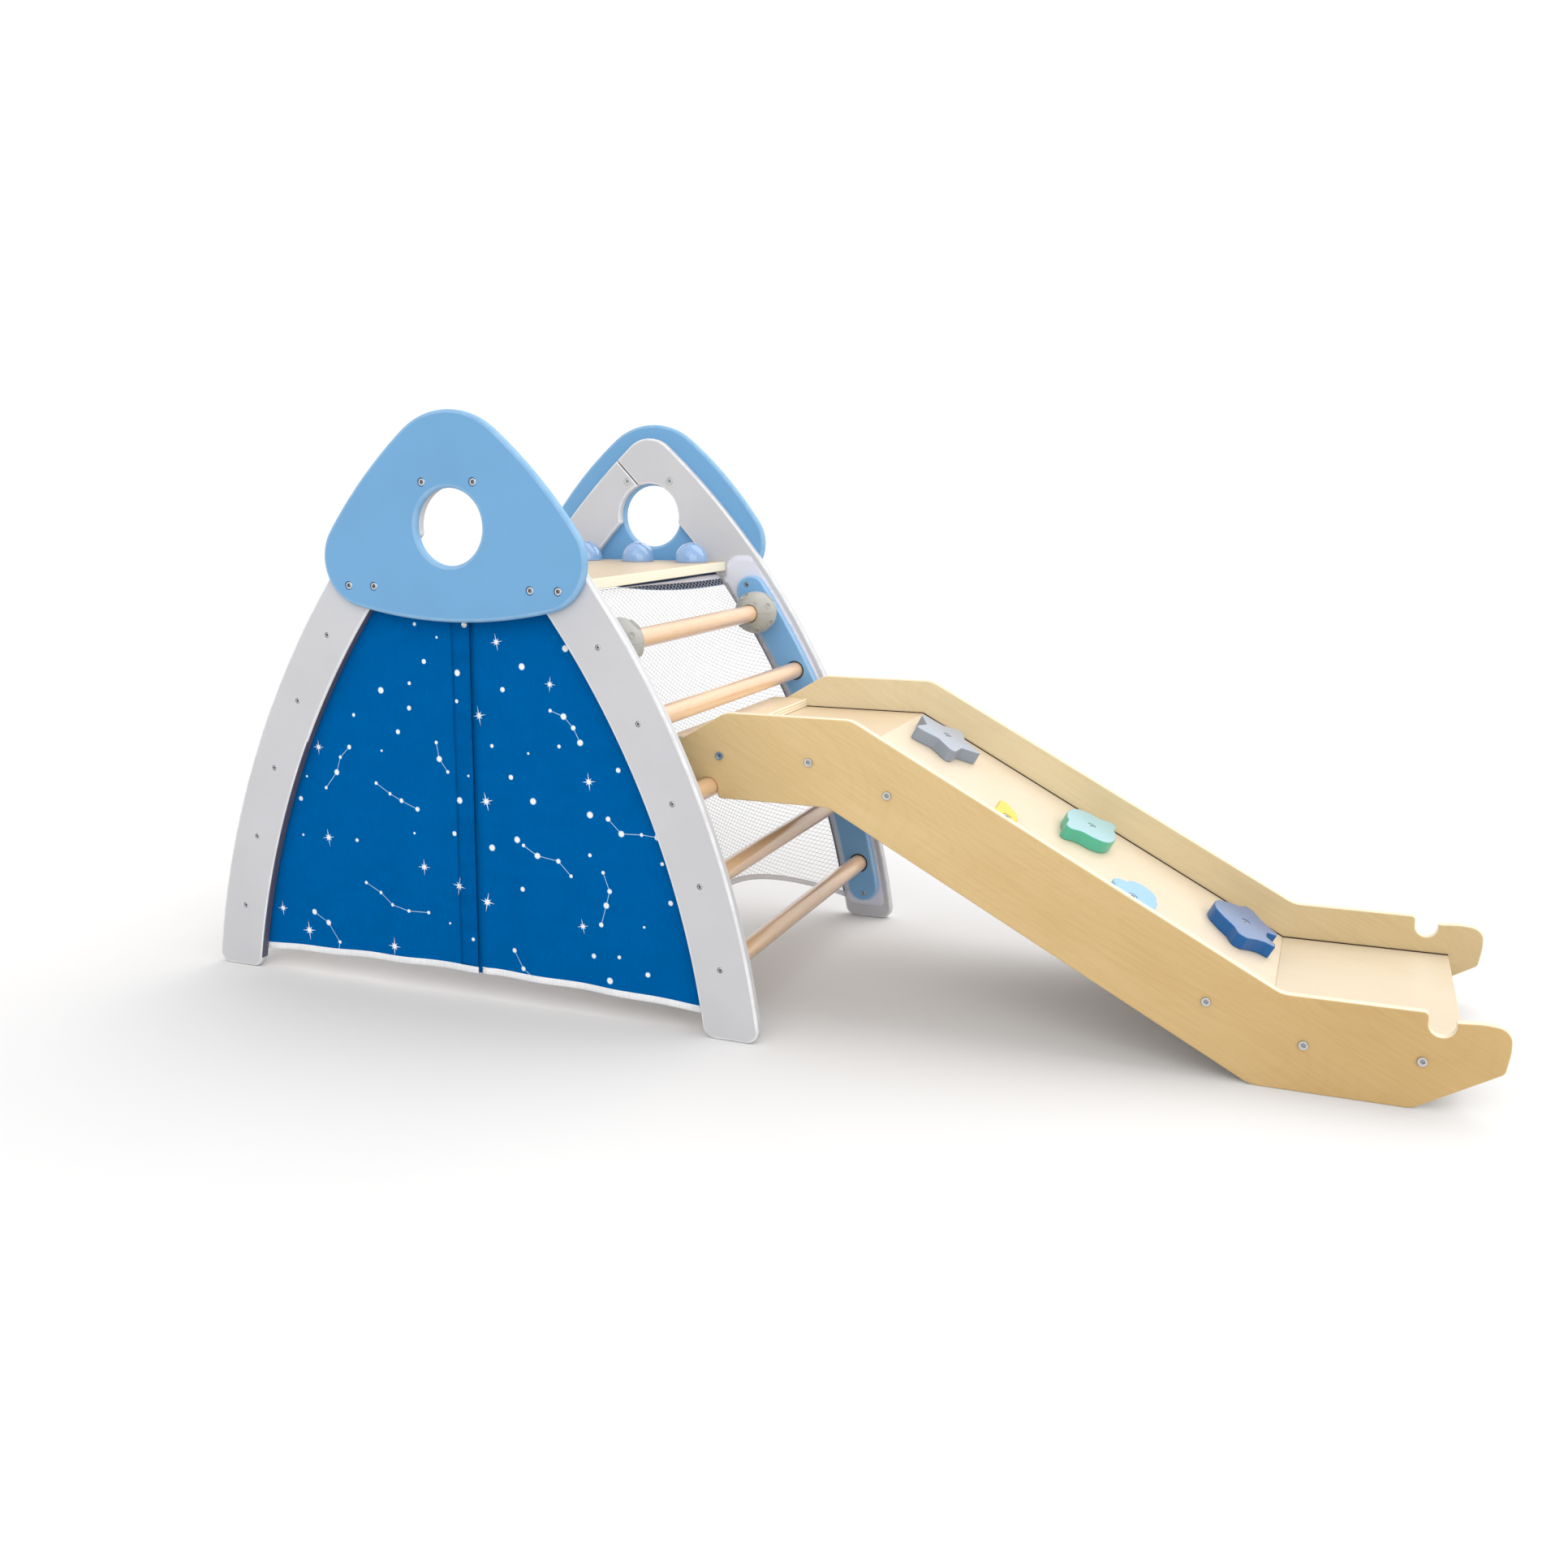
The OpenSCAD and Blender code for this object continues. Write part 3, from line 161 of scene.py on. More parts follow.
def make_wood_figure():
    """Rings, fibres and cloudy patches of a veneer whose grain runs along the vector's X."""
    tree, given, out = effect(
        "wood_figure",
        [("Vector", VECTOR, None), ("Ring Scale", FLOAT, 5.0), ("Ring Count", FLOAT, 34.0),
         ("Rings", FLOAT, 0.3), ("Fibres", FLOAT, 0.5), ("Patches", FLOAT, 0.5), ("Fibre Scale", FLOAT, 260.0)],
        [("Tone", FLOAT), ("Height", FLOAT)])
    long_way = vector(tree, "MULTIPLY", given["Vector"], (0.45, 1.0, 1.0))
    slow = cloudy(tree, long_way, given["Ring Scale"], 1.5, 0.45, 0.4)
    turns = sums(tree, "MULTIPLY", sums(tree, "MULTIPLY", slow, given["Ring Count"]), math.tau)
    pores = cloudy(tree, vector(tree, "MULTIPLY", given["Vector"], (0.3, 1.0, 1.0)), 520.0, 1.0)
    crests = ranged(tree, sums(tree, "SINE", turns), 0.45, 0.98)
    lines = sums(tree, "MULTIPLY", crests, ranged(tree, pores, 0.25, 0.6, 0.35, 1.0))
    rings = sums(tree, "SUBTRACT", 0.25, lines)
    fibre_way = vector(tree, "MULTIPLY", given["Vector"], (0.035, 1.0, 1.0))
    fine = cloudy(tree, fibre_way, given["Fibre Scale"], 3.0, 0.6)
    patches = cloudy(tree, long_way, 9.0, 2.0)
    tone = sums(tree, "MULTIPLY_ADD", rings, given["Rings"], 0.5)
    tone = sums(tree, "MULTIPLY_ADD", sums(tree, "SUBTRACT", fine, 0.5), given["Fibres"], tone)
    tone = sums(tree, "MULTIPLY_ADD", sums(tree, "SUBTRACT", patches, 0.5), given["Patches"], tone)
    tree.links.new(sums(tree, "ADD", tone, 0.0, clamp=True), out["Tone"])
    tree.links.new(fine, out["Height"])
    return tree


def make_ply_layers():
    """Light and dark layers across the thickness of a board, with thin glue lines."""
    tree, given, out = effect(
        "ply_layers", [("Depth", FLOAT, 0.0), ("Layer", FLOAT, 0.0022), ("Vector", VECTOR, None)], [("Tone", FLOAT)])
    wobble = sums(tree, "MULTIPLY", sums(tree, "SUBTRACT", cloudy(tree, given["Vector"], 30.0), 0.5), 0.15)
    layer = sums(tree, "ADD", sums(tree, "DIVIDE", given["Depth"], given["Layer"]), wobble)
    swing = sums(tree, "SINE", sums(tree, "MULTIPLY", layer, math.pi))
    tree.links.new(ranged(tree, swing, -0.35, 0.35), out["Tone"])
    return tree


def make_paint_skin():
    """The faint orange peel and cloudiness of a sprayed or moulded skin."""
    tree, given, out = effect(
        "paint_skin", [("Vector", VECTOR, None), ("Peel Scale", FLOAT, 420.0), ("Cloud Scale", FLOAT, 7.0)],
        [("Tone", FLOAT), ("Height", FLOAT)])
    tree.links.new(cloudy(tree, given["Vector"], given["Cloud Scale"], 3.0), out["Tone"])
    tree.links.new(cloudy(tree, given["Vector"], given["Peel Scale"]), out["Height"])
    return tree


def make_worn_edge():
    """A broken-up mask along the rounded edges of a piece: wear and a painted highlight."""
    tree, given, out = effect(
        "worn_edge", [("Vector", VECTOR, None), ("Rim", FLOAT, 0.0), ("Amount", FLOAT, 0.5)], [("Mask", FLOAT)])
    broken = ranged(tree, cloudy(tree, given["Vector"], 38.0, 4.0, 0.65), 0.3, 0.7, 0.45, 1.0)
    tree.links.new(sums(tree, "MULTIPLY", sums(tree, "MULTIPLY", given["Rim"], given["Amount"]), broken, clamp=True),
                   out["Mask"])
    return tree


def make_weave():
    """Warp and weft of a plain weave in the vector's X and Z."""
    tree, given, out = effect(
        "weave", [("Vector", VECTOR, None), ("Thread", FLOAT, 0.0009)], [("Tone", FLOAT), ("Height", FLOAT)])
    parts = add(tree, "ShaderNodeSeparateXYZ", Vector=given["Vector"]).outputs
    pitch = sums(tree, "DIVIDE", math.pi, given["Thread"])
    across = sums(tree, "SINE", sums(tree, "MULTIPLY", parts[0], pitch))
    along = sums(tree, "SINE", sums(tree, "MULTIPLY", parts[2], pitch))
    height = sums(tree, "ADD", sums(tree, "MULTIPLY", across, across), sums(tree, "MULTIPLY", along, along))
    slub = cloudy(tree, vector(tree, "MULTIPLY", given["Vector"], (1.0, 1.0, 0.08)), 900.0, 2.0)
    tree.links.new(height, out["Height"])
    tree.links.new(slub, out["Tone"])
    return tree


EFFECTS = {maker.__name__[5:]: maker() for maker in (
    make_wood_figure, make_ply_layers, make_paint_skin, make_worn_edge, make_weave)}


def use(tree, name, **inputs):
    return add(tree, "ShaderNodeGroup", {"node_tree": EFFECTS[name]}, **inputs).outputs


def attribute(tree, name):
    return add(tree, "ShaderNodeAttribute", {"attribute_name": name}).outputs["Fac"]


# finishes

def tint(red, green, blue):
    """A colour given as it looks on a screen, from 0 to 255."""
    linear = [c / 12.92 if c <= 0.04045 else ((c + 0.055) / 1.055) ** 2.4 for c in (red / 255, green / 255, blue / 255)]
    return (*linear, 1.0)


# painted reflection: the sky blue that the tops of the holds turn towards
PAINTED_SKY_REFLECTION = tint(176, 208, 255)
# painted shade: what is left of each colour at the slide's foot, and of a paint on faces marked as lying in shade
PAINTED_FOOT_SHADE = (0.8, 0.72, 0.58, 1.0)
PAINTED_SHADE = (0.46, 0.45, 0.54)
TURNED_FROM, TURNED_TO = 0.5, 0.9
SHELF_FADE = 0.006


def start(name, **sockets):
    """A new material with its shader's constant sockets set: also its tree, its shader and its coordinates."""
    material = bpy.data.materials.new(name)
    material.use_nodes = True
    tree = material.node_tree
    shader = tree.nodes["Principled BSDF"]
    for key, value in sockets.items():
        shader.inputs[key.replace("_", " ")].default_value = value
    where = tree.nodes.new("ShaderNodeTexCoord")
    return material, tree, shader, where


def colour_in(tree, shader, colour, calm=0.0):
    """calm is how far the colour greys in the light that the piece throws on others."""
    if calm:
        thrown = sums(tree, "MULTIPLY", add(tree, "ShaderNodeLightPath").outputs["Is Diffuse Ray"], calm)
        colour = blended(tree, thrown, colour, add(tree, "ShaderNodeRGBToBW", Color=colour).outputs[0])
    tree.links.new(colour, shader.inputs["Base Color"])


def bump_in(tree, shader, height, distance, strength=0.5):
    bump = add(tree, "ShaderNodeBump", Height=height, Distance=distance, Strength=strength)
    tree.links.new(bump.outputs[0], shader.inputs["Normal"])


def rough_in(tree, shader, height, smooth, rough, low=0.2, high=0.8):
    tree.links.new(ranged(tree, height, low, high, smooth, rough), shader.inputs["Roughness"])


def toned(tree, share, colour, down, up, low=0.3, high=0.7):
    """A colour that swings between a deeper and a lighter shade of itself."""
    deep = tint(*(c * (1 - down) for c in colour))
    light = tint(*(min(255, c * (1 + up)) for c in colour))
    return blended(tree, ranged(tree, share, low, high), deep, light)


def painted(name, colour, roughness, worn=0.35, pale=0.35, coat=0.0, coat_ior=1.5, top=None, painted_reflection=0.0, painted_shade_below=None):
    """Sprayed paint on board: cloudy by a shade; wear and a painted highlight pale its rounded edges. top is the side
    with most gloss and a painted reflection of sky blue. Faces marked shade get painted shade, and so does the far
    plate's inner face below the given height, the underside of the board."""
    material, tree, shader, where = start(name, Coat_Weight=coat, Coat_Roughness=0.2, Coat_IOR=coat_ior,
                                          Specular_IOR_Level=0.35)
    spot, facing = where.outputs["Object"], where.outputs["Normal"]
    skin = use(tree, "paint_skin", Vector=spot)
    base = toned(tree, skin["Tone"], colour, 0.012, 0.01)
    # paler rounded edges: wear and a painted highlight
    mask = use(tree, "worn_edge", Vector=spot, Rim=attribute(tree, "rim"), Amount=worn)["Mask"]
    edge = tint(*(c + (255 - c) * pale for c in colour))
    # painted shade: the colour that faces marked shade take
    dim = tint(*(c * k for c, k in zip(colour, PAINTED_SHADE)))
    shown = blended(tree, attribute(tree, "shade"), blended(tree, mask, base, edge), dim)
    if top:
        upward = vector(tree, "DOT_PRODUCT", facing, top)
        tree.links.new(ranged(tree, upward, TURNED_FROM, TURNED_TO, coat * 0.1, coat), shader.inputs["Coat Weight"])
        # painted reflection: the tops turn towards sky blue
        shown = blended(tree, ranged(tree, upward, TURNED_FROM, TURNED_TO, 0.0, painted_reflection), shown, PAINTED_SKY_REFLECTION)
    if painted_shade_below:
        # painted shade on the far plate's inner face below the board
        place = add(tree, "ShaderNodeSeparateXYZ", Vector=spot).outputs
        inner = ranged(tree, vector(tree, "DOT_PRODUCT", facing, (0.0, -1.0, 0.0)), TURNED_FROM, TURNED_TO)
        below = ranged(tree, place[2], painted_shade_below, painted_shade_below - SHELF_FADE)
        under = sums(tree, "MULTIPLY", ranged(tree, place[1], 0.0, 0.1), below)
        shown = blended(tree, sums(tree, "MULTIPLY", inner, under), shown, dim)
    colour_in(tree, shader, shown)
    rough_in(tree, shader, skin["Height"], roughness - 0.04, roughness + 0.05)
    bump_in(tree, shader, skin["Height"], 0.00012, 0.35)
    return material


def lacquered(name, colour, coat=1.0, painted_reflection=0.0):
    """Paint under a clear gloss, as on the climbing holds, with a painted reflection of sky on their tops."""
    return painted(name, colour, 0.4, pale=0.12, coat=coat, coat_ior=1.65, top=SLOPE_UP, painted_reflection=painted_reflection)


def plywood(name, dark, light, edge_dark, edge_light, normal, layer, turn=0.0, rings=0.22, fibres=0.5, tail=0.0):
    """Birch plywood: figured veneer on its two faces, layers on its edges. turn lays the grain along a slope; tail is
    how much painted shade darkens the veneer towards the slide's foot."""
    material, tree, shader, where = start(name, Coat_Weight=0.15, Coat_Roughness=0.28)
    place = where.outputs["Object"]
    spot = add(tree, "ShaderNodeMapping", {"vector_type": "POINT"}, Vector=place, Rotation=(0.0, -turn, 0.0)).outputs[0]
    figure = use(tree, "wood_figure", Vector=spot, Rings=rings, Fibres=fibres, Patches=0.7)
    face = blended(tree, figure["Tone"], tint(*dark), tint(*light))
    run = add(tree, "ShaderNodeSeparateXYZ", Vector=place).outputs[0]
    # painted shade: the veneer darkens towards the slide's foot
    face = blended(tree, ranged(tree, run, 0.1, 0.95, 0.0, tail), face, PAINTED_FOOT_SHADE, "MULTIPLY")
    depth = vector(tree, "DOT_PRODUCT", place, normal)
    layers = use(tree, "ply_layers", Depth=depth, Layer=layer, Vector=spot)["Tone"]
    edge = blended(tree, layers, tint(*edge_dark), tint(*edge_light))
    facing = sums(tree, "ABSOLUTE", vector(tree, "DOT_PRODUCT", where.outputs["Normal"], normal))
    colour_in(tree, shader, blended(tree, ranged(tree, facing, 0.72, 0.9), edge, face), 0.6)
    rough_in(tree, shader, figure["Height"], 0.34, 0.48)
    bump_in(tree, shader, figure["Height"], 0.0002, 0.3)
    return material


def turned_wood(name, dark, light):
    """Lacquered beech rod: flecks and long fibres along Y."""
    material, tree, shader, where = start(name, Coat_Weight=1.0, Coat_Roughness=0.14, Coat_IOR=1.6)
    spot = add(tree, "ShaderNodeMapping", Vector=where.outputs["Object"], Rotation=(0.0, 0.0, math.pi / 2)).outputs[0]
    figure = use(tree, "wood_figure", Vector=spot, Ring_Scale=26.0, Ring_Count=3.0, Rings=0.12, Fibres=0.8,
                 Patches=0.35, Fibre_Scale=340.0)
    flecks = cloudy(tree, vector(tree, "MULTIPLY", spot, (0.22, 1.0, 1.0)), 900.0, 1.0)
    base = blended(tree, figure["Tone"], tint(*dark), tint(*light))
    fleck = tint(*(c * 0.84 for c in dark))
    colour_in(tree, shader, blended(tree, ranged(tree, flecks, 0.62, 0.72, 0.0, 0.3), base, fleck))
    rough_in(tree, shader, figure["Height"], 0.3, 0.42)
    bump_in(tree, shader, figure["Height"], 0.00015, 0.2)
    return material


def moulded(name, colour, roughness, coat=0.0, mottle=0.05):
    """Moulded plastic with a fine grain, with painted shade where the attribute shade says so."""
    material, tree, shader, where = start(name, Coat_Weight=coat, Coat_Roughness=0.04)
    skin = use(tree, "paint_skin", Vector=where.outputs["Object"], Peel_Scale=900.0, Cloud_Scale=24.0)
    base = toned(tree, skin["Tone"], colour, mottle, mottle)
    # painted shade: dark faces where the attribute shade is set
    colour_in(tree, shader, blended(tree, attribute(tree, "shade"), base, tint(*(c * 0.12 for c in colour))))
    rough_in(tree, shader, skin["Height"], roughness - 0.05, roughness + 0.05)
    bump_in(tree, shader, skin["Height"], 0.0001, 0.3)
    return material


def woven(name, colour, thread=0.0009, depth=0.0002, gloss=0.2, vary=0.05, alpha=1.0):
    """Woven cloth, its threads in the model's X and Z."""
    material, tree, shader, where = start(name, Specular_IOR_Level=gloss, Alpha=alpha)
    weave = use(tree, "weave", Vector=where.outputs["Object"], Thread=thread)
    patches = cloudy(tree, vector(tree, "MULTIPLY", where.outputs["Object"], (1.0, 1.0, 2.2)), 22.0, 3.0)
    tone = sums(tree, "MULTIPLY_ADD", sums(tree, "SUBTRACT", patches, 0.5), 0.6, weave["Tone"])
    colour_in(tree, shader, toned(tree, tone, colour, vary, vary, 0.25, 0.75), 0.85)
    rough_in(tree, shader, weave["Height"], 0.92, 0.82, 0.0, 2.0)
    bump_in(tree, shader, weave["Height"], depth, 0.45)
    return material


def steel(name, colour):
    """Plated steel with a fine uneven polish, with painted shade where the attribute shade says so."""
    material, tree, shader, where = start(name, Metallic=1.0)
    polish = cloudy(tree, where.outputs["Object"], 600.0, 3.0)
    base = toned(tree, polish, colour, 0.1, 0.0)
    # painted shade in the sockets and round the rims of the heads
    colour_in(tree, shader, blended(tree, attribute(tree, "shade"), base, tint(*(c * 0.22 for c in colour))))
    rough_in(tree, shader, polish, 0.18, 0.34, 0.3, 0.7)
    bump_in(tree, shader, polish, 0.00005, 0.2)
    return material


ACROSS, UP = (0.0, 1.0, 0.0), (0.0, 0.0, 1.0)
SLOPE_UP = (math.sin(SLOPE), 0.0, math.cos(SLOPE))
CREAM_EDGE = (236, 212, 168), (255, 246, 224)
# the boards' paler rounded edges show wear and a painted highlight
LEG_PAINT = painted("leg_paint", (206, 206, 209), 0.45, worn=0.75, pale=0.85)
# the nose plates get painted shade below the board
NOSE_PAINT = painted("nose_paint", (115, 170, 214), 0.4, worn=0.6, pale=0.35, painted_shade_below=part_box("console_board")[0].z)
RAIL_PAINT = painted("rail_paint", (128, 180, 226), 0.4, worn=0.6, pale=0.4)
PANEL_PLY = plywood("panel_ply", (212, 177, 116), (235, 207, 154), *CREAM_EDGE, ACROSS, 0.0025, SLOPE, rings=0.08,
                    fibres=0.75, tail=0.8)
# the far panel's copy of the same plywood is paler: painted light for its lit inner face
FAR_PANEL_LIT_PLY = plywood("far_panel_ply", (219, 197, 152), (240, 223, 186), *CREAM_EDGE, ACROSS, 0.0025, SLOPE,
                        rings=0.08, fibres=0.75, tail=0.9)
BED_LEVEL_PLY = plywood("bed_level_ply", (219, 198, 165), (232, 216, 188), *CREAM_EDGE, UP, 0.0025, rings=0.16)
# the upper bed's copy of the bed plywood is deeper and more tan: painted shade from the tower and batten
BED_TOP_SHADED_PLY = plywood("bed_top_ply", (221, 196, 158), (234, 213, 180), *CREAM_EDGE, UP, 0.0025, rings=0.16)
BED_SLOPE_PLY = plywood("bed_slope_ply", (222, 202, 172), (234, 219, 195), *CREAM_EDGE, SLOPE_UP, 0.0025, SLOPE,
                        rings=0.12)
BATTEN_PLY = plywood("batten_ply", (232, 204, 160), (246, 226, 192), *CREAM_EDGE, UP, 0.0025)
CONSOLE_PLY = plywood("console_ply", (210, 184, 148), (228, 206, 172), (255, 244, 210), (255, 252, 236), UP, 0.002)
RUNG_BEECH = turned_wood("rung_beech", (224, 174, 124), (245, 207, 164))
DOME_PLASTIC = moulded("dome_plastic", (136, 172, 216), 0.16, coat=1.0, mottle=0.01)
MOON_PLASTIC = moulded("moon_plastic", (172, 171, 164), 0.42, mottle=0.03)
CURTAIN_BLUE = woven("curtain_blue", (0, 96, 166), gloss=0.0, vary=0.03)
# the placket's copy of the curtain blue is a little deeper: painted shade of its puckers
PLACKET_BLUE = woven("placket_blue", (0, 92, 160), gloss=0.0)
CURTAIN_BACK = woven("curtain_back", (6, 84, 152), gloss=0.0)
CURTAIN_INK = woven("curtain_ink", (253, 254, 255), depth=0.0001)
CURTAIN_LINE = woven("curtain_line", (186, 216, 240), depth=0.0001)
CURTAIN_GLOW = woven("curtain_glow", (120, 172, 218), depth=0.0001)
HEM_WHITE = woven("hem_white", (250, 252, 255), 0.0007, depth=0.0001)
BLUE_THREAD = woven("blue_thread", (0, 70, 134), 0.0005, depth=0.0001)
WHITE_THREAD = woven("white_thread", (236, 236, 240), 0.0005, depth=0.0001)
TAPE_CLOTH = woven("tape_cloth", (230, 230, 240), 0.0011, depth=0.00002, vary=0.006)
NET_CORD = woven("net_cord", (230, 231, 236), 0.0004, depth=0.0001, alpha=0.85)
# painted shade: the dark strips along the net's side edges
NET_SHADE = woven("net_shade", (136, 138, 150), 0.0008)
NET_BAND = woven("net_band", (244, 244, 248), 0.0008, vary=0.01)
BOLT_STEEL = steel("bolt_steel", (236, 237, 239))
# the tops of the holds carry a painted reflection of sky blue
HOLD_PAINTS = {
    "star_hold": lacquered("star_paint", (146, 154, 166), painted_reflection=0.15),
    "moon_hold": lacquered("yellow_paint", (242, 208, 40), 0.3),
    "planet_hold": lacquered("green_paint", (88, 184, 150), painted_reflection=0.45),
    "cloud_hold": lacquered("sky_paint", (144, 194, 230), 0.3),
    "saucer_hold": lacquered("navy_paint", (8, 92, 158)),
}


# pieces

def placed(obj, node_or_body, slot, *nodes):
    """Lets a finished piece ride on its body and stand for its nodes; its slot is not used."""
    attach(obj, BODY_OF.get(node_or_body, node_or_body))
    if nodes:
        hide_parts(*nodes)
    return obj


def piece(name, mesh, *materials):
    for material in materials:
        mesh.materials.append(material)
    obj = bpy.data.objects.new(name, mesh)
    bpy.context.scene.collection.objects.link(obj)
    return obj


def drawn(name, points, faces, *materials, edges=()):
    mesh = bpy.data.meshes.new(name)
    mesh.from_pydata(points, list(edges), faces)
    mesh.validate()
    obj = piece(name, mesh, *materials)
    mesh.polygons.foreach_set("use_smooth", [True] * len(mesh.polygons))
    return obj


def disc(x, z, radius, sides=14):
    turns = [math.tau * k / sides for k in range(sides)]
    return [(x + radius * math.cos(turn), z + radius * math.sin(turn)) for turn in turns]


def ring_faces(count, sides, base=0, closed=False):
    """Faces between stacked rings of points; closed joins the last ring to the first."""
    pairs = [(base + k * sides, base + (k + 1) % count * sides) for k in range(count if closed else count - 1)]
    return [(a + k, a + (k + 1) % sides, b + (k + 1) % sides, b + k) for a, b in pairs for k in range(sides)]


def capped_faces(count, sides):
    """The faces of stacked rings with both ends closed."""
    last = (count - 1) * sides
    return ring_faces(count, sides) + [tuple(reversed(range(sides))), tuple(range(last, last + sides))]


def strung(name, lines):
    """A piece of bare edges along lines of points."""
    points, edges = [], []
    for line in lines:
        edges += [(len(points) + k, len(points) + k + 1) for k in range(len(line) - 1)]
        points += line
    return drawn(name, points, [], edges=edges)


def scattered(name, spots, aims, key, values):
    """A piece of bare points, each with a direction to face and one more value."""
    mesh = bpy.data.meshes.new(name)
    mesh.from_pydata(spots, [], [])
    mesh.attributes.new("aim", "FLOAT_VECTOR", "POINT").data.foreach_set("vector", [c for a in aims for c in a])
    mesh.attributes.new(key, "FLOAT", "POINT").data.foreach_set("value", values)
    return piece(name, mesh)


def outward(mesh, crease=None, flat=False):
    """Turns a closed shape's faces outward; edges bent by more than crease degrees stay sharp."""
    bm = bmesh.new()
    bm.from_mesh(mesh)
    bmesh.ops.recalc_face_normals(bm, faces=bm.faces)
    for face in bm.faces:
        face.smooth = face.smooth and not flat
    for edge in bm.edges:
        edge.smooth = crease is None or edge.calc_face_angle(0.0) < math.radians(crease)
    bm.to_mesh(mesh)
    bm.free()


def baked(obj):
    """Works the modifiers into a plain mesh and takes them off."""
    bpy.context.view_layer.update()
    mesh = bpy.data.meshes.new_from_object(obj.evaluated_get(bpy.context.evaluated_depsgraph_get()))
    obj.modifiers.clear()
    old, obj.data = obj.data, mesh
    mesh.name = obj.name
    bpy.data.meshes.remove(old)
    return obj


def long_edges(bm, angle, smallest):
    """The sharp edges of every outline that is larger than a screw hole, in the same order each run."""
    sharp = dict.fromkeys(e for e in bm.edges if len(e.link_faces) == 2 and e.calc_face_angle(0.0) > angle)
    found = []
    while sharp:
        chain, todo = [], [sharp.popitem()[0]]
        while todo:
            edge = todo.pop()
            chain.append(edge)
            for vert in edge.verts:
                for other in vert.link_edges:
                    if other in sharp:
                        del sharp[other]
                        todo.append(other)
        spots = [v.co for e in chain for v in e.verts]
        spread = Vector([max(p[i] for p in spots) - min(p[i] for p in spots) for i in range(3)])
        if spread.length > smallest:
            found += chain
    return found


def in_order(parts, place):
    """Sorts points or faces by where they lie, so that they come in the same order each run."""
    rank = {part: k for k, part in enumerate(sorted(parts, key=lambda part: place(part)[:]))}
    parts.sort(key=rank.get)


def softened(node, material, width, slot, smallest=30.0, segments=3, gap=0.0, shaded=None, slim=1.0, raw=None):
    """A copy of a board with its long edges rounded; the rims of its screw holes stay sharp."""
    bm = bmesh.new()
    bm.from_mesh(raw or NODES[node].data)
    bmesh.ops.remove_doubles(bm, verts=bm.verts, dist=WELD)
    low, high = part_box(node)
    if slim != 1.0:
        for vert in bm.verts:
            for axis in (0, 1):
                vert.co[axis] += (slim - 1) * (vert.co[axis] - (low[axis] + high[axis]) / 2)
    if gap:
        for vert in bm.verts:
            if min(vert.co.y - low.y, high.y - vert.co.y) < TOUCH:
                vert.co.y += math.copysign(gap * MM, (low.y + high.y) / 2 - vert.co.y)
    bmesh.ops.dissolve_limit(bm, angle_limit=FLAT_ANGLE, verts=bm.verts, edges=bm.edges)
    rim = bm.loops.layers.float.new("rim")
    if width:
        rounded = bmesh.ops.bevel(bm, geom=long_edges(bm, ROUND_ANGLE, smallest * MM), offset=width * MM,
                                  offset_type="OFFSET", segments=segments, profile=0.5, affect="EDGES",
                                  clamp_overlap=False, loop_slide=False)
        for face in rounded["faces"]:
            for loop in face.loops:
                loop[rim] = 1.0
    # faces that shaded picks get the attribute shade, which their material turns into painted shade
    if shaded:
        shade = bm.loops.layers.float.new("shade")
        for face in bm.faces:
            if shaded(face.calc_center_median(), face.normal):
                for loop in face.loops:
                    loop[shade] = 1.0
    bmesh.ops.triangulate(bm, faces=[f for f in bm.faces if len(f.verts) > 4])
    for face in bm.faces:
        face.smooth = True
    for edge in bm.edges:
        edge.smooth = edge.calc_face_angle(0.0) < SHARP_ANGLE
    in_order(bm.verts, lambda vert: vert.co)
    in_order(bm.faces, lambda face: face.calc_center_median())
    mesh = bpy.data.meshes.new("soft_" + node)
    bm.to_mesh(mesh)
    bm.free()
    obj = piece("soft_" + node, mesh, material)
    even = obj.modifiers.new("even", "WEIGHTED_NORMAL")
    even.keep_sharp = True
    return placed(baked(obj), node, slot, node)


def finish_node(node, material):
    mesh = NODES[node].data
    mesh.materials.clear()
    mesh.materials.append(material)


SEAM_LEAN, SEAM_DARK = math.radians(2.06), 0.8
SEAM_ANGLE = math.acos(-LEG_CENTRE[0] / LEG_RADIUS) - SEAM_LEAN
SHADE_LOW, SHADE_TOP, SHADE_FACING = 25, 640, 0.75


def at_seam(spot, way):
    """The bottom of the groove where the left leg butts against the right one, which gets painted shade."""
    x, z = -(spot.x / MM - TOWER_X) - LEG_CENTRE[0], spot.z / MM - LEG_CENTRE[1]
    off = z * math.cos(SEAM_ANGLE) - x * math.sin(SEAM_ANGLE)
    return abs(off) < SEAM_DARK and abs(math.hypot(x, z) - LEG_RADIUS) < LEG_HALF + 4


def beside_cloth(spot, way):
    """The legs' inner edges beside the hung cloth, which get painted shade."""
    across = spot.x / MM - TOWER_X
    inward = -math.copysign(1.0, across) * way.x
    beside = SHADE_LOW * MM < spot.z < SHADE_TOP * MM and abs(across) < leg_x(LEG_RADIUS, spot.z / MM)
    return inward > SHADE_FACING and beside or at_seam(spot, way)


# how far edges are rounded, in millimetres
LEG_ROUND, PLATE_ROUND, PANEL_ROUND, MOON_ROUND, CONSOLE_ROUND = 4.0, 6.0, 2.5, 0.7, 1.6
BED_ROUND, BATTEN_ROUND, HOLD_ROUND, DOME_ROUND, RUNG_ROUND = 0.9, 2.0, 2.2, 0.8, 1.2
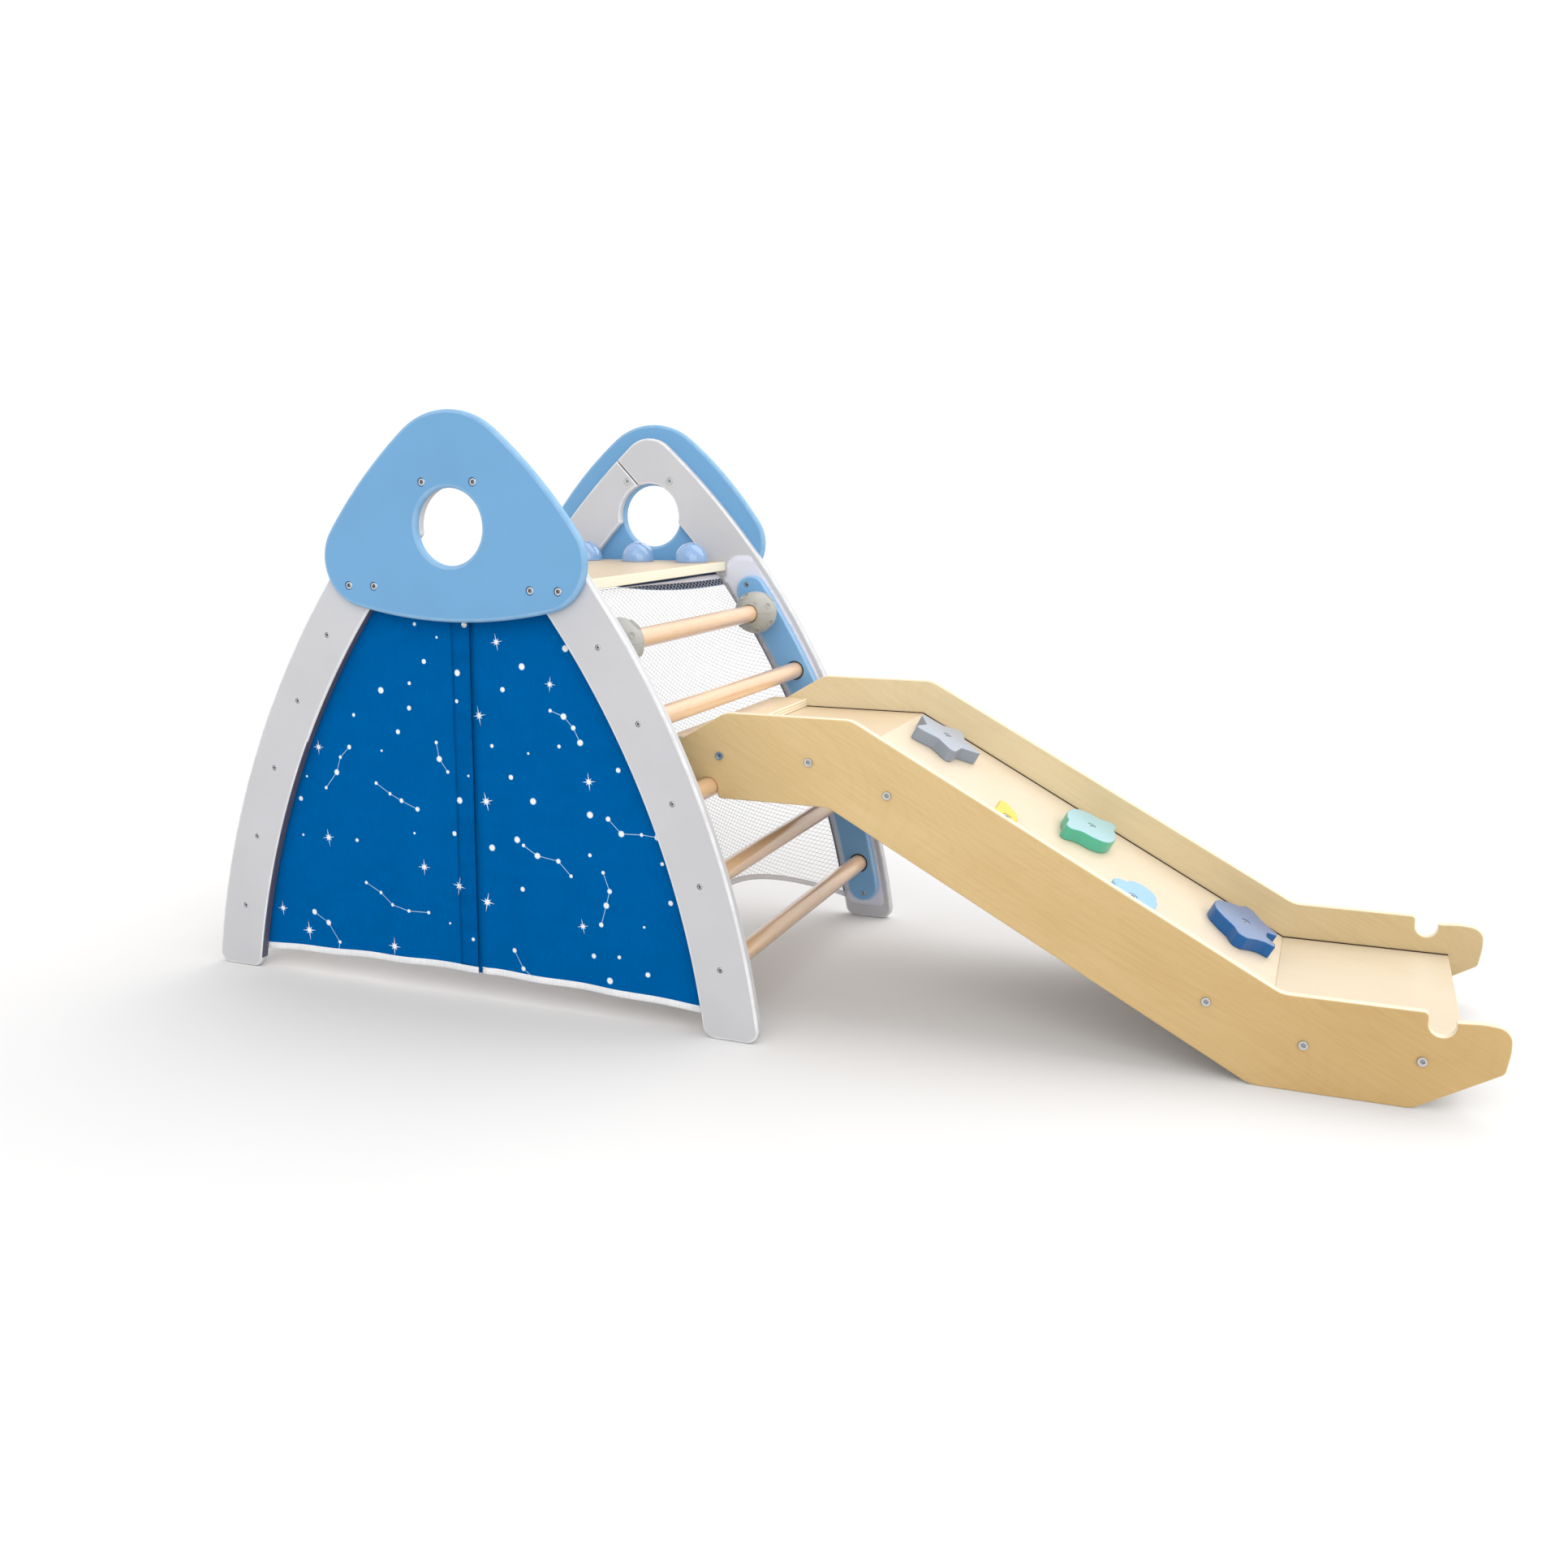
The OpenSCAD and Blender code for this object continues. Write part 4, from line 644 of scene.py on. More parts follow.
# outlines smaller than these are screw holes and stay sharp
BOARD_LEAST, DOME_LEAST, HOLD_LEAST = 60, 45, 40
for side in ("near", "far"):
    for hand in ("left", "right"):
        # painted shade on the near legs' inner edges and in the far legs' seam
        softened(f"{side}_{hand}_leg", LEG_PAINT, LEG_ROUND, "leg_board", BOARD_LEAST, 4,
                 shaded=beside_cloth if side == "near" else at_seam)
        softened(f"{side}_{hand}_rail", RAIL_PAINT, LEG_ROUND, "rail_board", BOARD_LEAST, 4)
    softened(f"{side}_nose_plate", NOSE_PAINT, PLATE_ROUND, "nose_board", BOARD_LEAST, 5)
    panel_ply = PANEL_PLY if side == "near" else FAR_PANEL_LIT_PLY
    softened(f"slide_{side}_panel", panel_ply, PANEL_ROUND, "panel_wood", BOARD_LEAST)
    for half in ("upper", "lower"):
        softened(f"{side}_moon_{half}", MOON_PLASTIC, MOON_ROUND, "moon_plastic", DOME_LEAST, 2)
    finish_node(f"{side}_moon_screws", BOLT_STEEL)
softened("console_board", CONSOLE_PLY, CONSOLE_ROUND, "console_wood", BOARD_LEAST)
BED_GAP, LINE_PROUD, LINE_SUNK = 2.2, 1.3, 1.6
DOME_SLIM, DOME_SKIN = 0.94, 0.93


def in_slot(node):
    """Tells whether a face lies inside the dome's skin, in one of the slots in its crown, where shade is painted."""
    low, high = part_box(node)
    reach = DOME_SLIM * (high.x - low.x) / 2, DOME_SLIM * (high.y - low.y) / 2, high.z - low.z
    foot = (low.x + high.x) / 2, (low.y + high.y) / 2, low.z

    def sunk(spot, way):
        inside = sum(((spot[k] - foot[k]) / reach[k]) ** 2 for k in range(3)) < DOME_SKIN
        return inside and spot.z > low.z + reach[2] / 2
    return sunk


for board, ply in (("upper_bed", BED_TOP_SHADED_PLY), ("lower_bed", BED_LEVEL_PLY), ("slope_bed", BED_SLOPE_PLY)):
    softened(board, ply, BED_ROUND, "bed_wood", BOARD_LEAST, 2, BED_GAP)
softened("stop_batten", BATTEN_PLY, BATTEN_ROUND, "bed_wood", HOLD_LEAST)


def joint_strips(node, normal):
    """Painted shadow where a bed board meets the two panels: dark strips set in the gaps beside it."""
    low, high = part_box(node)
    up = Vector(normal)
    along = up.cross(Vector(ACROSS)) * -1
    side = [v.co for v in NODES[node].data.vertices if abs(v.co.y - low.y) < TOUCH]
    top, foot = max(p.dot(up) for p in side), min(p.dot(up) for p in side)
    ends = []
    for level, shift in ((top, LINE_PROUD * MM), (foot, LINE_SUNK * MM)):
        runs = [p.dot(along) for p in side if abs(p.dot(up) - level) < TOUCH]
        ends.append([up * (level + shift) + along * run for run in (min(runs), max(runs))])
    loop = [ends[0][0], ends[0][1], ends[1][1], ends[1][0]]
    points, faces = [], []
    for start_y, way in ((low.y, 1), (high.y, -1)):
        base = len(points)
        points += [(p.x, start_y + way * y * MM, p.z) for y in (0.05, BED_GAP - 0.05) for p in loop]
        faces += [tuple(base + k for k in (0, 1, 2, 3)), tuple(base + k for k in (7, 6, 5, 4))]
        faces += [(base + k, base + 4 + k, base + 4 + (k + 1) % 4, base + (k + 1) % 4) for k in range(4)]
    strips = drawn(f"{node}_joint_strips", points, faces, JOINT_SHADOW)
    outward(strips.data, flat=True)
    placed(strips, node, "bed_wood")


# painted shadow: the colour of the strips in the gaps beside the beds
JOINT_SHADOW = moulded("joint_dark", (58, 38, 22), 0.9)
for board, normal in (("upper_bed", UP), ("lower_bed", UP), ("slope_bed", SLOPE_UP)):
    joint_strips(board, normal)
for hold, paint in HOLD_PAINTS.items():
    if hold != "planet_hold":
        softened(hold, paint, HOLD_ROUND, hold, HOLD_LEAST)
for spot in ("left", "middle", "right"):
    # painted shade in the slots of each dome's crown
    softened(f"dome_{spot}", DOME_PLASTIC, DOME_ROUND, "dome_plastic", DOME_LEAST, 2, shaded=in_slot(f"dome_{spot}"),
             slim=DOME_SLIM)
    finish_node(f"dome_bolt_{spot}", BOLT_STEEL)
for hidden in ("board_nuts", "hold_nuts", "slide_nuts"):
    finish_node(hidden, BOLT_STEEL)


def turned(name, stations, centre, material, sides=56):
    """A rod along Y: stations are (y, radius) in metres."""
    points = [(x, y, z) for y, radius in stations for x, z in disc(centre.x, centre.z, radius, sides)]
    obj = drawn(name, points, capped_faces(len(stations), sides), material)
    outward(obj.data, CREASE)
    return obj


MOON_GROOVE = 2.0 * MM
MOON_RIB_HALF = 3.3 * MM
for hand in ("left", "right"):
    for number in range(1, 6):
        node = f"{hand}_rung_{number}"
        low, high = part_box(node)
        radius, end = RUNG_R * MM, high.y
        stations = [(end, radius - RUNG_ROUND * MM), (end - RUNG_ROUND * MM, radius)]
        if node == "right_rung_5":
            moon = middle_of("far_moon_upper").y
            for step, depth in ((MOON_RIB_HALF, 0.0), (MOON_RIB_HALF, MOON_GROOVE), (-MOON_RIB_HALF, MOON_GROOVE),
                                (-MOON_RIB_HALF, 0.0)):
                stations.append((moon + step, radius - depth))
        stations += [(-y, r) for y, r in reversed(stations)]
        placed(turned("turned_" + node, stations, (low + high) / 2, RUNG_BEECH), node, "rung_wood", node)


# fasteners: heads and shanks set on points by one tree

def geometry_tree(name, inputs):
    tree = bpy.data.node_groups.new(name, "GeometryNodeTree")
    tree.interface.new_socket(name="Geometry", in_out="INPUT", socket_type="NodeSocketGeometry")
    for socket, kind in inputs:
        tree.interface.new_socket(name=socket, in_out="INPUT", socket_type=kind)
    tree.interface.new_socket(name="Geometry", in_out="OUTPUT", socket_type="NodeSocketGeometry")
    return tree, tree.nodes.new("NodeGroupInput").outputs, tree.nodes.new("NodeGroupOutput").inputs


def grown(obj, tree, **values):
    """Runs a geometry tree on an object with its named inputs set, and bakes the result."""
    modifier = obj.modifiers.new(tree.name, "NODES")
    modifier.node_group = tree
    for item in tree.interface.items_tree:
        key = item.name.replace(" ", "_")
        if item.item_type == "SOCKET" and item.in_out == "INPUT" and key in values:
            modifier[item.identifier] = values[key]
    return baked(obj)


def ending(tree, out, geometry, material):
    solid = add(tree, "GeometryNodeRealizeInstances", Geometry=geometry).outputs[0]
    tree.links.new(add(tree, "GeometryNodeSetMaterial", Geometry=solid, Material=material).outputs[0], out["Geometry"])


def stored(tree, name, kind="FLOAT"):
    return add(tree, "GeometryNodeInputNamedAttribute", {"data_type": kind}, Name=name).outputs[0]


def turned_to(tree, way, axis):
    return add(tree, "FunctionNodeAlignRotationToVector", {"axis": axis}, Vector=way).outputs[0]


def copied(tree, points, shape, turn, size):
    copies = add(tree, "GeometryNodeInstanceOnPoints", Points=points, Instance=shape, Rotation=turn, Scale=size)
    return copies.outputs[0]


def make_fastener_tree():
    tree, given, out = geometry_tree("fasteners", [
        ("Head", "NodeSocketObject"), ("Shank", "NodeSocketObject"), ("Head Radius", FLOAT), ("Head Height", FLOAT),
        ("Shank Radius", FLOAT), ("Material", "NodeSocketMaterial")])
    turn = turned_to(tree, stored(tree, "aim", "FLOAT_VECTOR"), "Z")
    parts = add(tree, "GeometryNodeJoinGeometry")
    head = "Head", given["Head Radius"], given["Head Height"]
    shank = "Shank", given["Shank Radius"], stored(tree, "reach")
    for part, width, height in (head, shank):
        shape = add(tree, "GeometryNodeObjectInfo", Object=given[part]).outputs["Geometry"]
        size = add(tree, "ShaderNodeCombineXYZ", X=width, Y=width, Z=height).outputs[0]
        tree.links.new(copied(tree, given["Geometry"], shape, turn, size), parts.inputs[0])
    ending(tree, out, parts.outputs[0], given["Material"])
    return tree


def ringed(name, rings, sides, dark=()):
    """A closed shape of stacked rings, each (radius, height, six-sided or round), from its foot to its last hollow.
    dark gives how deep the painted shade is on the faces above each ring."""
    points = []
    for radius, height, six in rings:
        for k in range(sides):
            turn = math.tau * k / sides
            fold = (turn + math.pi / 6) % (math.pi / 3) - math.pi / 6
            reach = radius / math.cos(fold) if six else radius
            points.append((reach * math.cos(turn), reach * math.sin(turn), height))
    mesh = bpy.data.meshes.new(name)
    mesh.from_pydata(points, [], capped_faces(len(rings), sides))
    mesh.polygons.foreach_set("use_smooth", [False] * len(mesh.polygons))
    depths = [*dark, *[0.0] * (len(rings) - 1 - len(dark))]
    shade = [depth for depth in depths for k in range(sides)] + [0.0, max(dark, default=0.0)]
    mesh.attributes.new("shade", "FLOAT", "FACE").data.foreach_set("value", shade)
    return bpy.data.objects.new(name, mesh)


ROUND, SIX = False, True
# the dark values paint shade into each head's socket and a shadow ring round its rim
BUTTON_HEAD = ringed("button_head", [
    (0.98, -1.0, ROUND), (1.0, -0.9, ROUND), (1.0, -0.45, ROUND), (0.95, -0.2, ROUND), (0.84, -0.05, ROUND),
    (0.72, 0.0, ROUND), (0.5, 0.0, SIX), (0.45, -0.06, SIX), (0.43, -0.62, SIX)], 24,
    (0.7, 0.7, 0.4, 0.1, 0.0, 0.0, 0.5, 0.75))
FLAT_HEAD = ringed("flat_head", [
    (0.98, -1.0, ROUND), (1.0, -0.9, ROUND), (1.0, -0.12, ROUND), (0.95, 0.0, ROUND), (0.62, 0.0, ROUND),
    (0.58, -0.06, ROUND), (0.5, -0.06, SIX), (0.47, -0.1, SIX), (0.45, -0.62, SIX)], 24,
    (0.5, 0.5, 0.5, 0.0, 0.3, 0.0, 0.35, 0.45))
SHANK = ringed("shank", [(0.92, -1.0, ROUND), (1.0, -0.97, ROUND), (1.0, -0.1, ROUND)], 12)
FASTENERS = make_fastener_tree()


def islands(node):
    """The separate solids of a node, as lists of points."""
    bm = bmesh.new()
    bm.from_mesh(NODES[node].data)
    bmesh.ops.remove_doubles(bm, verts=bm.verts, dist=WELD)
    left, found = dict.fromkeys(bm.verts), []
    while left:
        todo, group = [left.popitem()[0]], []
        while todo:
            vert = todo.pop()
            group.append(vert.co.copy())
            for edge in vert.link_edges:
                other = edge.other_vert(vert)
                if other in left:
                    del left[other]
                    todo.append(other)
        found.append(group)
    bm.free()
    return sorted(found, key=lambda g: tuple(round(x, 4) for x in g and sum(g, Vector()) / len(g)))


def fastened(node, axis, head, head_radius, head_height, shank_radius, centre=None, inward=False):
    """Puts a fastener on each solid of a node. With a centre, heads face away from it, or towards it if inward."""
    axis = Vector(axis)
    spots, aims, reaches = [], [], []
    for group in islands(node):
        along = [p.dot(axis) for p in group]
        flat = [p - axis * p.dot(axis) for p in group]
        low = Vector([min(p[i] for p in flat) for i in range(3)])
        high = Vector([max(p[i] for p in flat) for i in range(3)])
        outer = centre is None or ((min(along) + max(along)) / 2 > centre) != inward
        spots.append((low + high) / 2 + axis * (max(along) if outer else min(along)))
        aims.append(axis if outer else -axis)
        reaches.append(max(along) - min(along))
    obj = scattered("set_" + node, spots, aims, "reach", reaches)
    grown(obj, FASTENERS, Head=head, Shank=SHANK, Head_Radius=head_radius * MM, Head_Height=head_height * MM,
          Shank_Radius=shank_radius * MM, Material=BOLT_STEEL)
    for edge in obj.data.edges:
        edge.use_edge_sharp = False
    return placed(obj, node, "fastener_steel", node)


# radius and height of the heads and radius of the shanks, in millimetres
SLIDE_Y = middle_of("slope_bed").y
fastened("nose_bolts", ACROSS, BUTTON_HEAD, 6.5, 3.6, 3.0, 0.0)
fastened("rung_screws", ACROSS, BUTTON_HEAD, 4.0, 3.6, 2.2, 0.0)
fastened("rail_screws", ACROSS, BUTTON_HEAD, 5.0, 3.0, 2.2, 0.0, True)
fastened("sleeve_nuts", ACROSS, FLAT_HEAD, 7.0, 1.6, 4.0, 0.0, True)
fastened("slide_bolts", ACROSS, FLAT_HEAD, 6.5, 3.6, 3.0, SLIDE_Y)
fastened("hold_bolts", SLOPE_UP, FLAT_HEAD, 6.5, 3.6, 3.0)


# painted shadow: dark rings set in the gaps where the rungs pass through the rails

RING_IN, RING_OUT, RING_LIP, RING_PROUD, RING_DEEP = 16.15, 17.35, 18.4, 0.4, 7.0
RING_SEAT, RING_SIDES = 0.02, 40
RUNG_GAP_SHADOW = moulded("dark_rubber", (34, 30, 30), 0.7)
for hand in ("left", "right"):
    for side, way in (("near", 1), ("far", -1)):
        low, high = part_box(f"{side}_{hand}_rail")
        wall = high.y if way > 0 else low.y
        face, back = wall + way * RING_PROUD * MM, wall - way * RING_DEEP * MM
        lip = wall + way * RING_SEAT * MM
        points, faces = [], []
        for number in range(1, 6):
            spot, base = middle_of(f"{hand}_rung_{number}"), len(points)
            section = ((RING_IN, face), (RING_LIP, face), (RING_LIP, lip), (RING_OUT, lip), (RING_OUT, back),
                       (RING_IN, back))
            points += [(x, y, z) for radius, y in section for x, z in disc(spot.x, spot.z, radius * MM, RING_SIDES)]
            faces += ring_faces(len(section), RING_SIDES, base, True)
        rings = drawn(f"{side}_{hand}_rung_rings", points, faces, RUNG_GAP_SHADOW)
        outward(rings.data, CREASE)
        placed(rings, "tower", "rail_board")


# raised rims round the craters of the moon grips

MOON_R = 40.0
CRATERS = [(20, 48, 10), (75, 28, 5), (118, 58, 6), (165, 30, 9), (232, 52, 9), (285, 26, 6), (330, 22, 5)]
LOWER_TURN = 55


def make_rim_shape(sides=28, round_sides=6, thick=0.15):
    """A unit ring about Z with a round section."""
    points, faces = [], []
    for k in range(sides):
        turn = math.tau * k / sides
        for j in range(round_sides):
            lean = math.tau * j / round_sides
            reach = 1.0 + thick * math.cos(lean)
            points.append((reach * math.cos(turn), reach * math.sin(turn), thick * math.sin(lean)))
    for k in range(sides):
        for j in range(round_sides):
            a, b = k * round_sides + j, k * round_sides + (j + 1) % round_sides
            c = (k + 1) % sides * round_sides
            faces.append((a, c + j, c + (j + 1) % round_sides, b))
    mesh = bpy.data.meshes.new("crater_rim")
    mesh.from_pydata(points, [], faces)
    return bpy.data.objects.new("crater_rim", mesh)


def make_rim_tree():
    tree, given, out = geometry_tree("crater_rims", [("Rim", "NodeSocketObject"), ("Material", "NodeSocketMaterial")])
    turn = turned_to(tree, stored(tree, "aim", "FLOAT_VECTOR"), "Z")
    shape = add(tree, "GeometryNodeObjectInfo", Object=given["Rim"]).outputs["Geometry"]
    ending(tree, out, copied(tree, given["Geometry"], shape, turn, stored(tree, "size")), given["Material"])
    return tree


RIM_SHAPE, RIM_TREE = make_rim_shape(), make_rim_tree()
for side in ("near", "far"):
    for half, up, turn in (("upper", 1, 0), ("lower", -1, LOWER_TURN)):
        node = f"{side}_moon_{half}"
        low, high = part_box(node)
        centre = Vector(((low.x + high.x) / 2, (low.y + high.y) / 2, low.z if up > 0 else high.z))
        spots, aims, sizes = [], [], []
        for around, tilt, radius in CRATERS:
            around, tilt = math.radians(around + turn), math.radians(tilt)
            aim = Vector((math.cos(tilt) * math.cos(around), math.cos(tilt) * math.sin(around), up * math.sin(tilt)))
            if MOON_R * math.sqrt(1 - aim.y ** 2) - radius * 1.2 < RUNG_R + 1:
                continue
            spots.append(centre + aim * math.sqrt(MOON_R ** 2 - radius ** 2) * MM)
            aims.append(aim)
            sizes.append(radius * MM)
        rims = grown(scattered(f"{node}_rims", spots, aims, "size", sizes), RIM_TREE, Rim=RIM_SHAPE,
                     Material=MOON_PLASTIC)
        for polygon in rims.data.polygons:
            polygon.use_smooth = True
        placed(rims, node, "moon_plastic")


# stitches set along lines

def make_stitch_tree():
    tree, given, out = geometry_tree("stitches", [
        ("Pitch", FLOAT), ("Length", FLOAT), ("Thread", FLOAT), ("Material", "NodeSocketMaterial")])
    line = add(tree, "GeometryNodeMeshToCurve", Mesh=given["Geometry"]).outputs[0]
    spaced = add(tree, "GeometryNodeResampleCurve", {"mode": "LENGTH"}, Curve=line, Length=given["Pitch"]).outputs[0]
    bead = add(tree, "GeometryNodeMeshUVSphere", Segments=6, Rings=4, Radius=1.0).outputs[0]
    turn = turned_to(tree, tree.nodes.new("GeometryNodeInputTangent").outputs[0], "X")
    half = sums(tree, "MULTIPLY", given["Length"], 0.5)
    size = add(tree, "ShaderNodeCombineXYZ", X=half, Y=given["Thread"], Z=given["Thread"]).outputs[0]
    ending(tree, out, copied(tree, spaced, bead, turn, size), given["Material"])
    return tree


STITCHES = make_stitch_tree()


def stitched(name, lines, body, slot, material, pitch=4.0, length=3.0, thread=0.35):
    obj = grown(strung(name, lines), STITCHES, Pitch=pitch * MM, Length=length * MM, Thread=thread * MM,
                Material=material)
    for polygon in obj.data.polygons:
        polygon.use_smooth = True
    return placed(obj, body, slot)


# flat cloth cut to an outline, with holes and a print, then hung in place

def turned_left(loop):
    area = sum(a[0] * b[1] - b[0] * a[1] for a, b in zip(loop, loop[1:] + loop[:1]))
    return loop if area > 0 else loop[::-1]


def cut_cloth(outline, pitch, holes=(), marks=()):
    """Triangles of a flat sheet: its points, its faces and the kind of mark on each face."""
    points, faces, kinds = [], [], []
    for kind, loop in [("cloth", outline), *[("hole", h) for h in holes], *marks]:
        loop = turned_left(list(loop))
        faces.append(list(range(len(points), len(points) + len(loop))))
        points += [Vector(p) for p in loop]
        kinds.append(kind)
    low = [min(p[i] for p in outline) for i in (0, 1)]
    high = [max(p[i] for p in outline) for i in (0, 1)]
    for row in range(1, int((high[1] - low[1]) / pitch)):
        for col in range(1, int((high[0] - low[0]) / pitch)):
            points.append(Vector((low[0] + (col + 0.5 * (row % 2)) * pitch, low[1] + row * pitch)))
    spots, _, triangles, _, _, sources = delaunay_2d_cdt(points, [], faces, 1, 1e-4)
    made, marked = [], []
    for triangle, source in zip(triangles, sources):
        found = {kinds[k] for k in source}
        if "cloth" in found and "hole" not in found:
            made.append(triangle)
            marked.append(next((kind for kind in ("ink", "line", "glow") if kind in found), "cloth"))
    return spots, made, marked


# the ringed planet: half of its outline from the middle, along the slope and across it

PLANET_HALF = [(44.4, -7.4), (45.0, 5.0), (44.0, 15.5), (40.8, 31.3), (37.4, 40.0), (34.9, 47.5), (34.8, 62.0),
               (33.4, 74.5), (29.8, 81.0), (24.5, 82.2), (19.3, 78.5), (8.5, 66.0), (-1.0, 60.4), (-12.7, 58.2),
               (-28.7, 49.0), (-38.0, 36.0), (-42.3, 22.0)]
HOLD_BORE = 7.2


def smooth_loop(loop, steps=4):
    """A closed curve through its points."""
    curve = []
    for k in range(len(loop)):
        a, b, c, d = (Vector(loop[(k + j - 1) % len(loop)]) for j in range(4))
        for step in range(steps):
            u = step / steps
            bend = (2 * a - 5 * b + 4 * c - d) * u * u + (3 * b - a - 3 * c + d) * u ** 3
            curve.append(tuple(b + ((c - a) * u + bend) / 2))
    return curve


def planet_mesh():
    spots = [v.co for v in NODES["planet_hold"].data.vertices]
    up, along, across = Vector(SLOPE_UP), Vector((math.cos(SLOPE), 0.0, -math.sin(SLOPE))), Vector(ACROSS)
    (low_t, high_t), (low_y, high_y), levels = ((min(p.dot(way) for p in spots), max(p.dot(way) for p in spots))
                                                for way in (along, across, up))
    middle = along * (low_t + high_t) / 2 + across * (low_y + high_y) / 2
    outline = smooth_loop(PLANET_HALF + [(-t, -y) for t, y in PLANET_HALF])
    flat, triangles, _ = cut_cloth(outline, 400.0, [disc(0.0, 0.0, HOLD_BORE, 32)])
    points = [middle + along * p.x * MM + across * p.y * MM + up * level for level in levels for p in flat]
    count = len(flat)
    faces = [tuple(t) for t in triangles] + [tuple(count + k for k in t) for t in triangles]
    uses = {}
    for t in triangles:
        for a, b in zip(t, (t[1], t[2], t[0])):
            uses[frozenset((a, b))] = uses.get(frozenset((a, b)), 0) + 1
    for edge, number in uses.items():
        if number == 1:
            a, b = edge
            faces.append((a, b, count + b, count + a))
    mesh = bpy.data.meshes.new("planet_raw")
    mesh.from_pydata(points, [], faces)
    outward(mesh)
    return mesh


softened("planet_hold", HOLD_PAINTS["planet_hold"], HOLD_ROUND, "planet_hold", HOLD_LEAST, raw=planet_mesh())


def flat_area(spots, triangles):
    return sum(abs((spots[b] - spots[a]).cross(spots[c] - spots[a])) for a, b, c in triangles) / 2


def thickened(obj, thickness, back_slot=0, offset=-1.0):
    wall = obj.modifiers.new("wall", "SOLIDIFY")
    wall.thickness, wall.offset = thickness * MM, offset
    wall.material_offset = wall.material_offset_rim = back_slot
    return baked(obj)


def faced(obj, towards):
    """Turns a sheet's faces so that its front looks along a direction."""
    bm = bmesh.new()
    bm.from_mesh(obj.data)
    loose = [v for v in bm.verts if not v.link_faces]
    bmesh.ops.delete(bm, geom=loose, context="VERTS")
    back = [f for f in bm.faces if f.normal.dot(Vector(towards)) < 0]
    bmesh.ops.reverse_faces(bm, faces=back)
    bm.to_mesh(obj.data)
    bm.free()
    return obj


# curtain

def cloth_low(x):
    return CLOTH_LOW + CLOTH_RISE * (1 - (x / leg_x(LEG_RADIUS - LEG_HALF, CLOTH_LOW)) ** 2)


def folds(u, v, flat):
    return CLOTH_FOLD * v * math.sin(math.pi * CLOTH_FOLDS * u) ** 2 * (1 - max(0.0, flat) ** 6)


def cloth_v(x, z):
    return min(1.0, max(0.0, (CLOTH_TOP - z) / (CLOTH_TOP - cloth_low(x))))


def crumple(x, z, reach):
    """Small soft dents of the cloth, fading to nothing at its held edges."""
    dent = noise.noise((x / 62, 3.1, z / 150)) * 0.8 + noise.noise((x / 27, 9.7, z / 60)) * 0.35
    return max(0.0, 0.55 + dent) * 1.3 * min(1.0, reach / 50) * (1 - 0.7 * cloth_v(x, z) ** 6)


# how far the cloth eases out beside the parting, and how far in from a leg its dents begin
LAP_EASE, DENT_EASE, DENT_START = 14, 30, 20


def left_y(x, z):
    v = cloth_v(x, z)
    level = CLOTH_TOP + (CLOTH_LOW - CLOTH_TOP) * v
    edge = -leg_x(CLOTH_EDGE_LEFT, level)
    u = min(1.0, max(0.0, (x - edge) / (CLOTH_SPLIT - edge)))
    dents = crumple(x, z, max(0.0, x - edge - DENT_START)) * min(1.0, (CLOTH_SPLIT + LAP_EASE - x) / DENT_EASE)
    return -INNER_Y + folds(u, v, 1 - u) + dents


def right_y(x, z):
    v = cloth_v(x, z)
    level = CLOTH_TOP + (CLOTH_LOW - CLOTH_TOP) * v
    edge, start_x = leg_x(CLOTH_EDGE_RIGHT, level), CLOTH_SPLIT - CLOTH_LAP
    u = min(1.0, max(0.0, (x - start_x) / (edge - start_x)))
    step = (CLOTH_T + CLEAR) * max(0.0, min(1.0, (CLOTH_SPLIT + LAP_EASE - x) / 12))
    step += PARTING_DEPTH * max(0.0, min(1.0, (CLOTH_SPLIT + 22 - x) / 18, (x - CLOTH_SPLIT + 30) / 20)) ** 2
    if x < CLOTH_SPLIT:
        return left_y(x, z) + step
    lap = left_y(CLOTH_SPLIT, z) + INNER_Y
    dents = crumple(x, z, max(0.0, edge - x - DENT_START)) * min(1.0, (x - CLOTH_SPLIT) / DENT_EASE)
    own = folds(u, v, u) + dents
    ease = min(1.0, (x - CLOTH_SPLIT) / 25)
    return -INNER_Y + step + lap * (1 - ease) + own * ease


def sparkle(x, z, size, turn):
    """A four-armed star, taller than wide, with four short arms between the long ones."""
    loop = []
    for k in range(16):
        radius = size * (1.0, 0.15, 0.5, 0.15, 0.8, 0.15, 0.5, 0.15)[(k + 4) % 8]
        angle = turn + math.tau * k / 16
        loop.append((x + radius * math.cos(angle), z + radius * math.sin(angle)))
    return loop


def link(a, b, width=0.95):
    run = Vector((b[0] - a[0], b[1] - a[1])).normalized()
    side = Vector((-run.y, run.x)) * width / 2
    return [(a[0] + side.x, a[1] + side.y), (a[0] - side.x, a[1] - side.y), (b[0] - side.x, b[1] - side.y),
            (b[0] + side.x, b[1] + side.y)]


PRINT_LOW, PRINT_TOP = CLOTH_LOW + 30, CLOTH_TOP - 6
CHAIN_ROOM, SPARKLE_ROOM, STAR_ROOM = 46, 26, 20


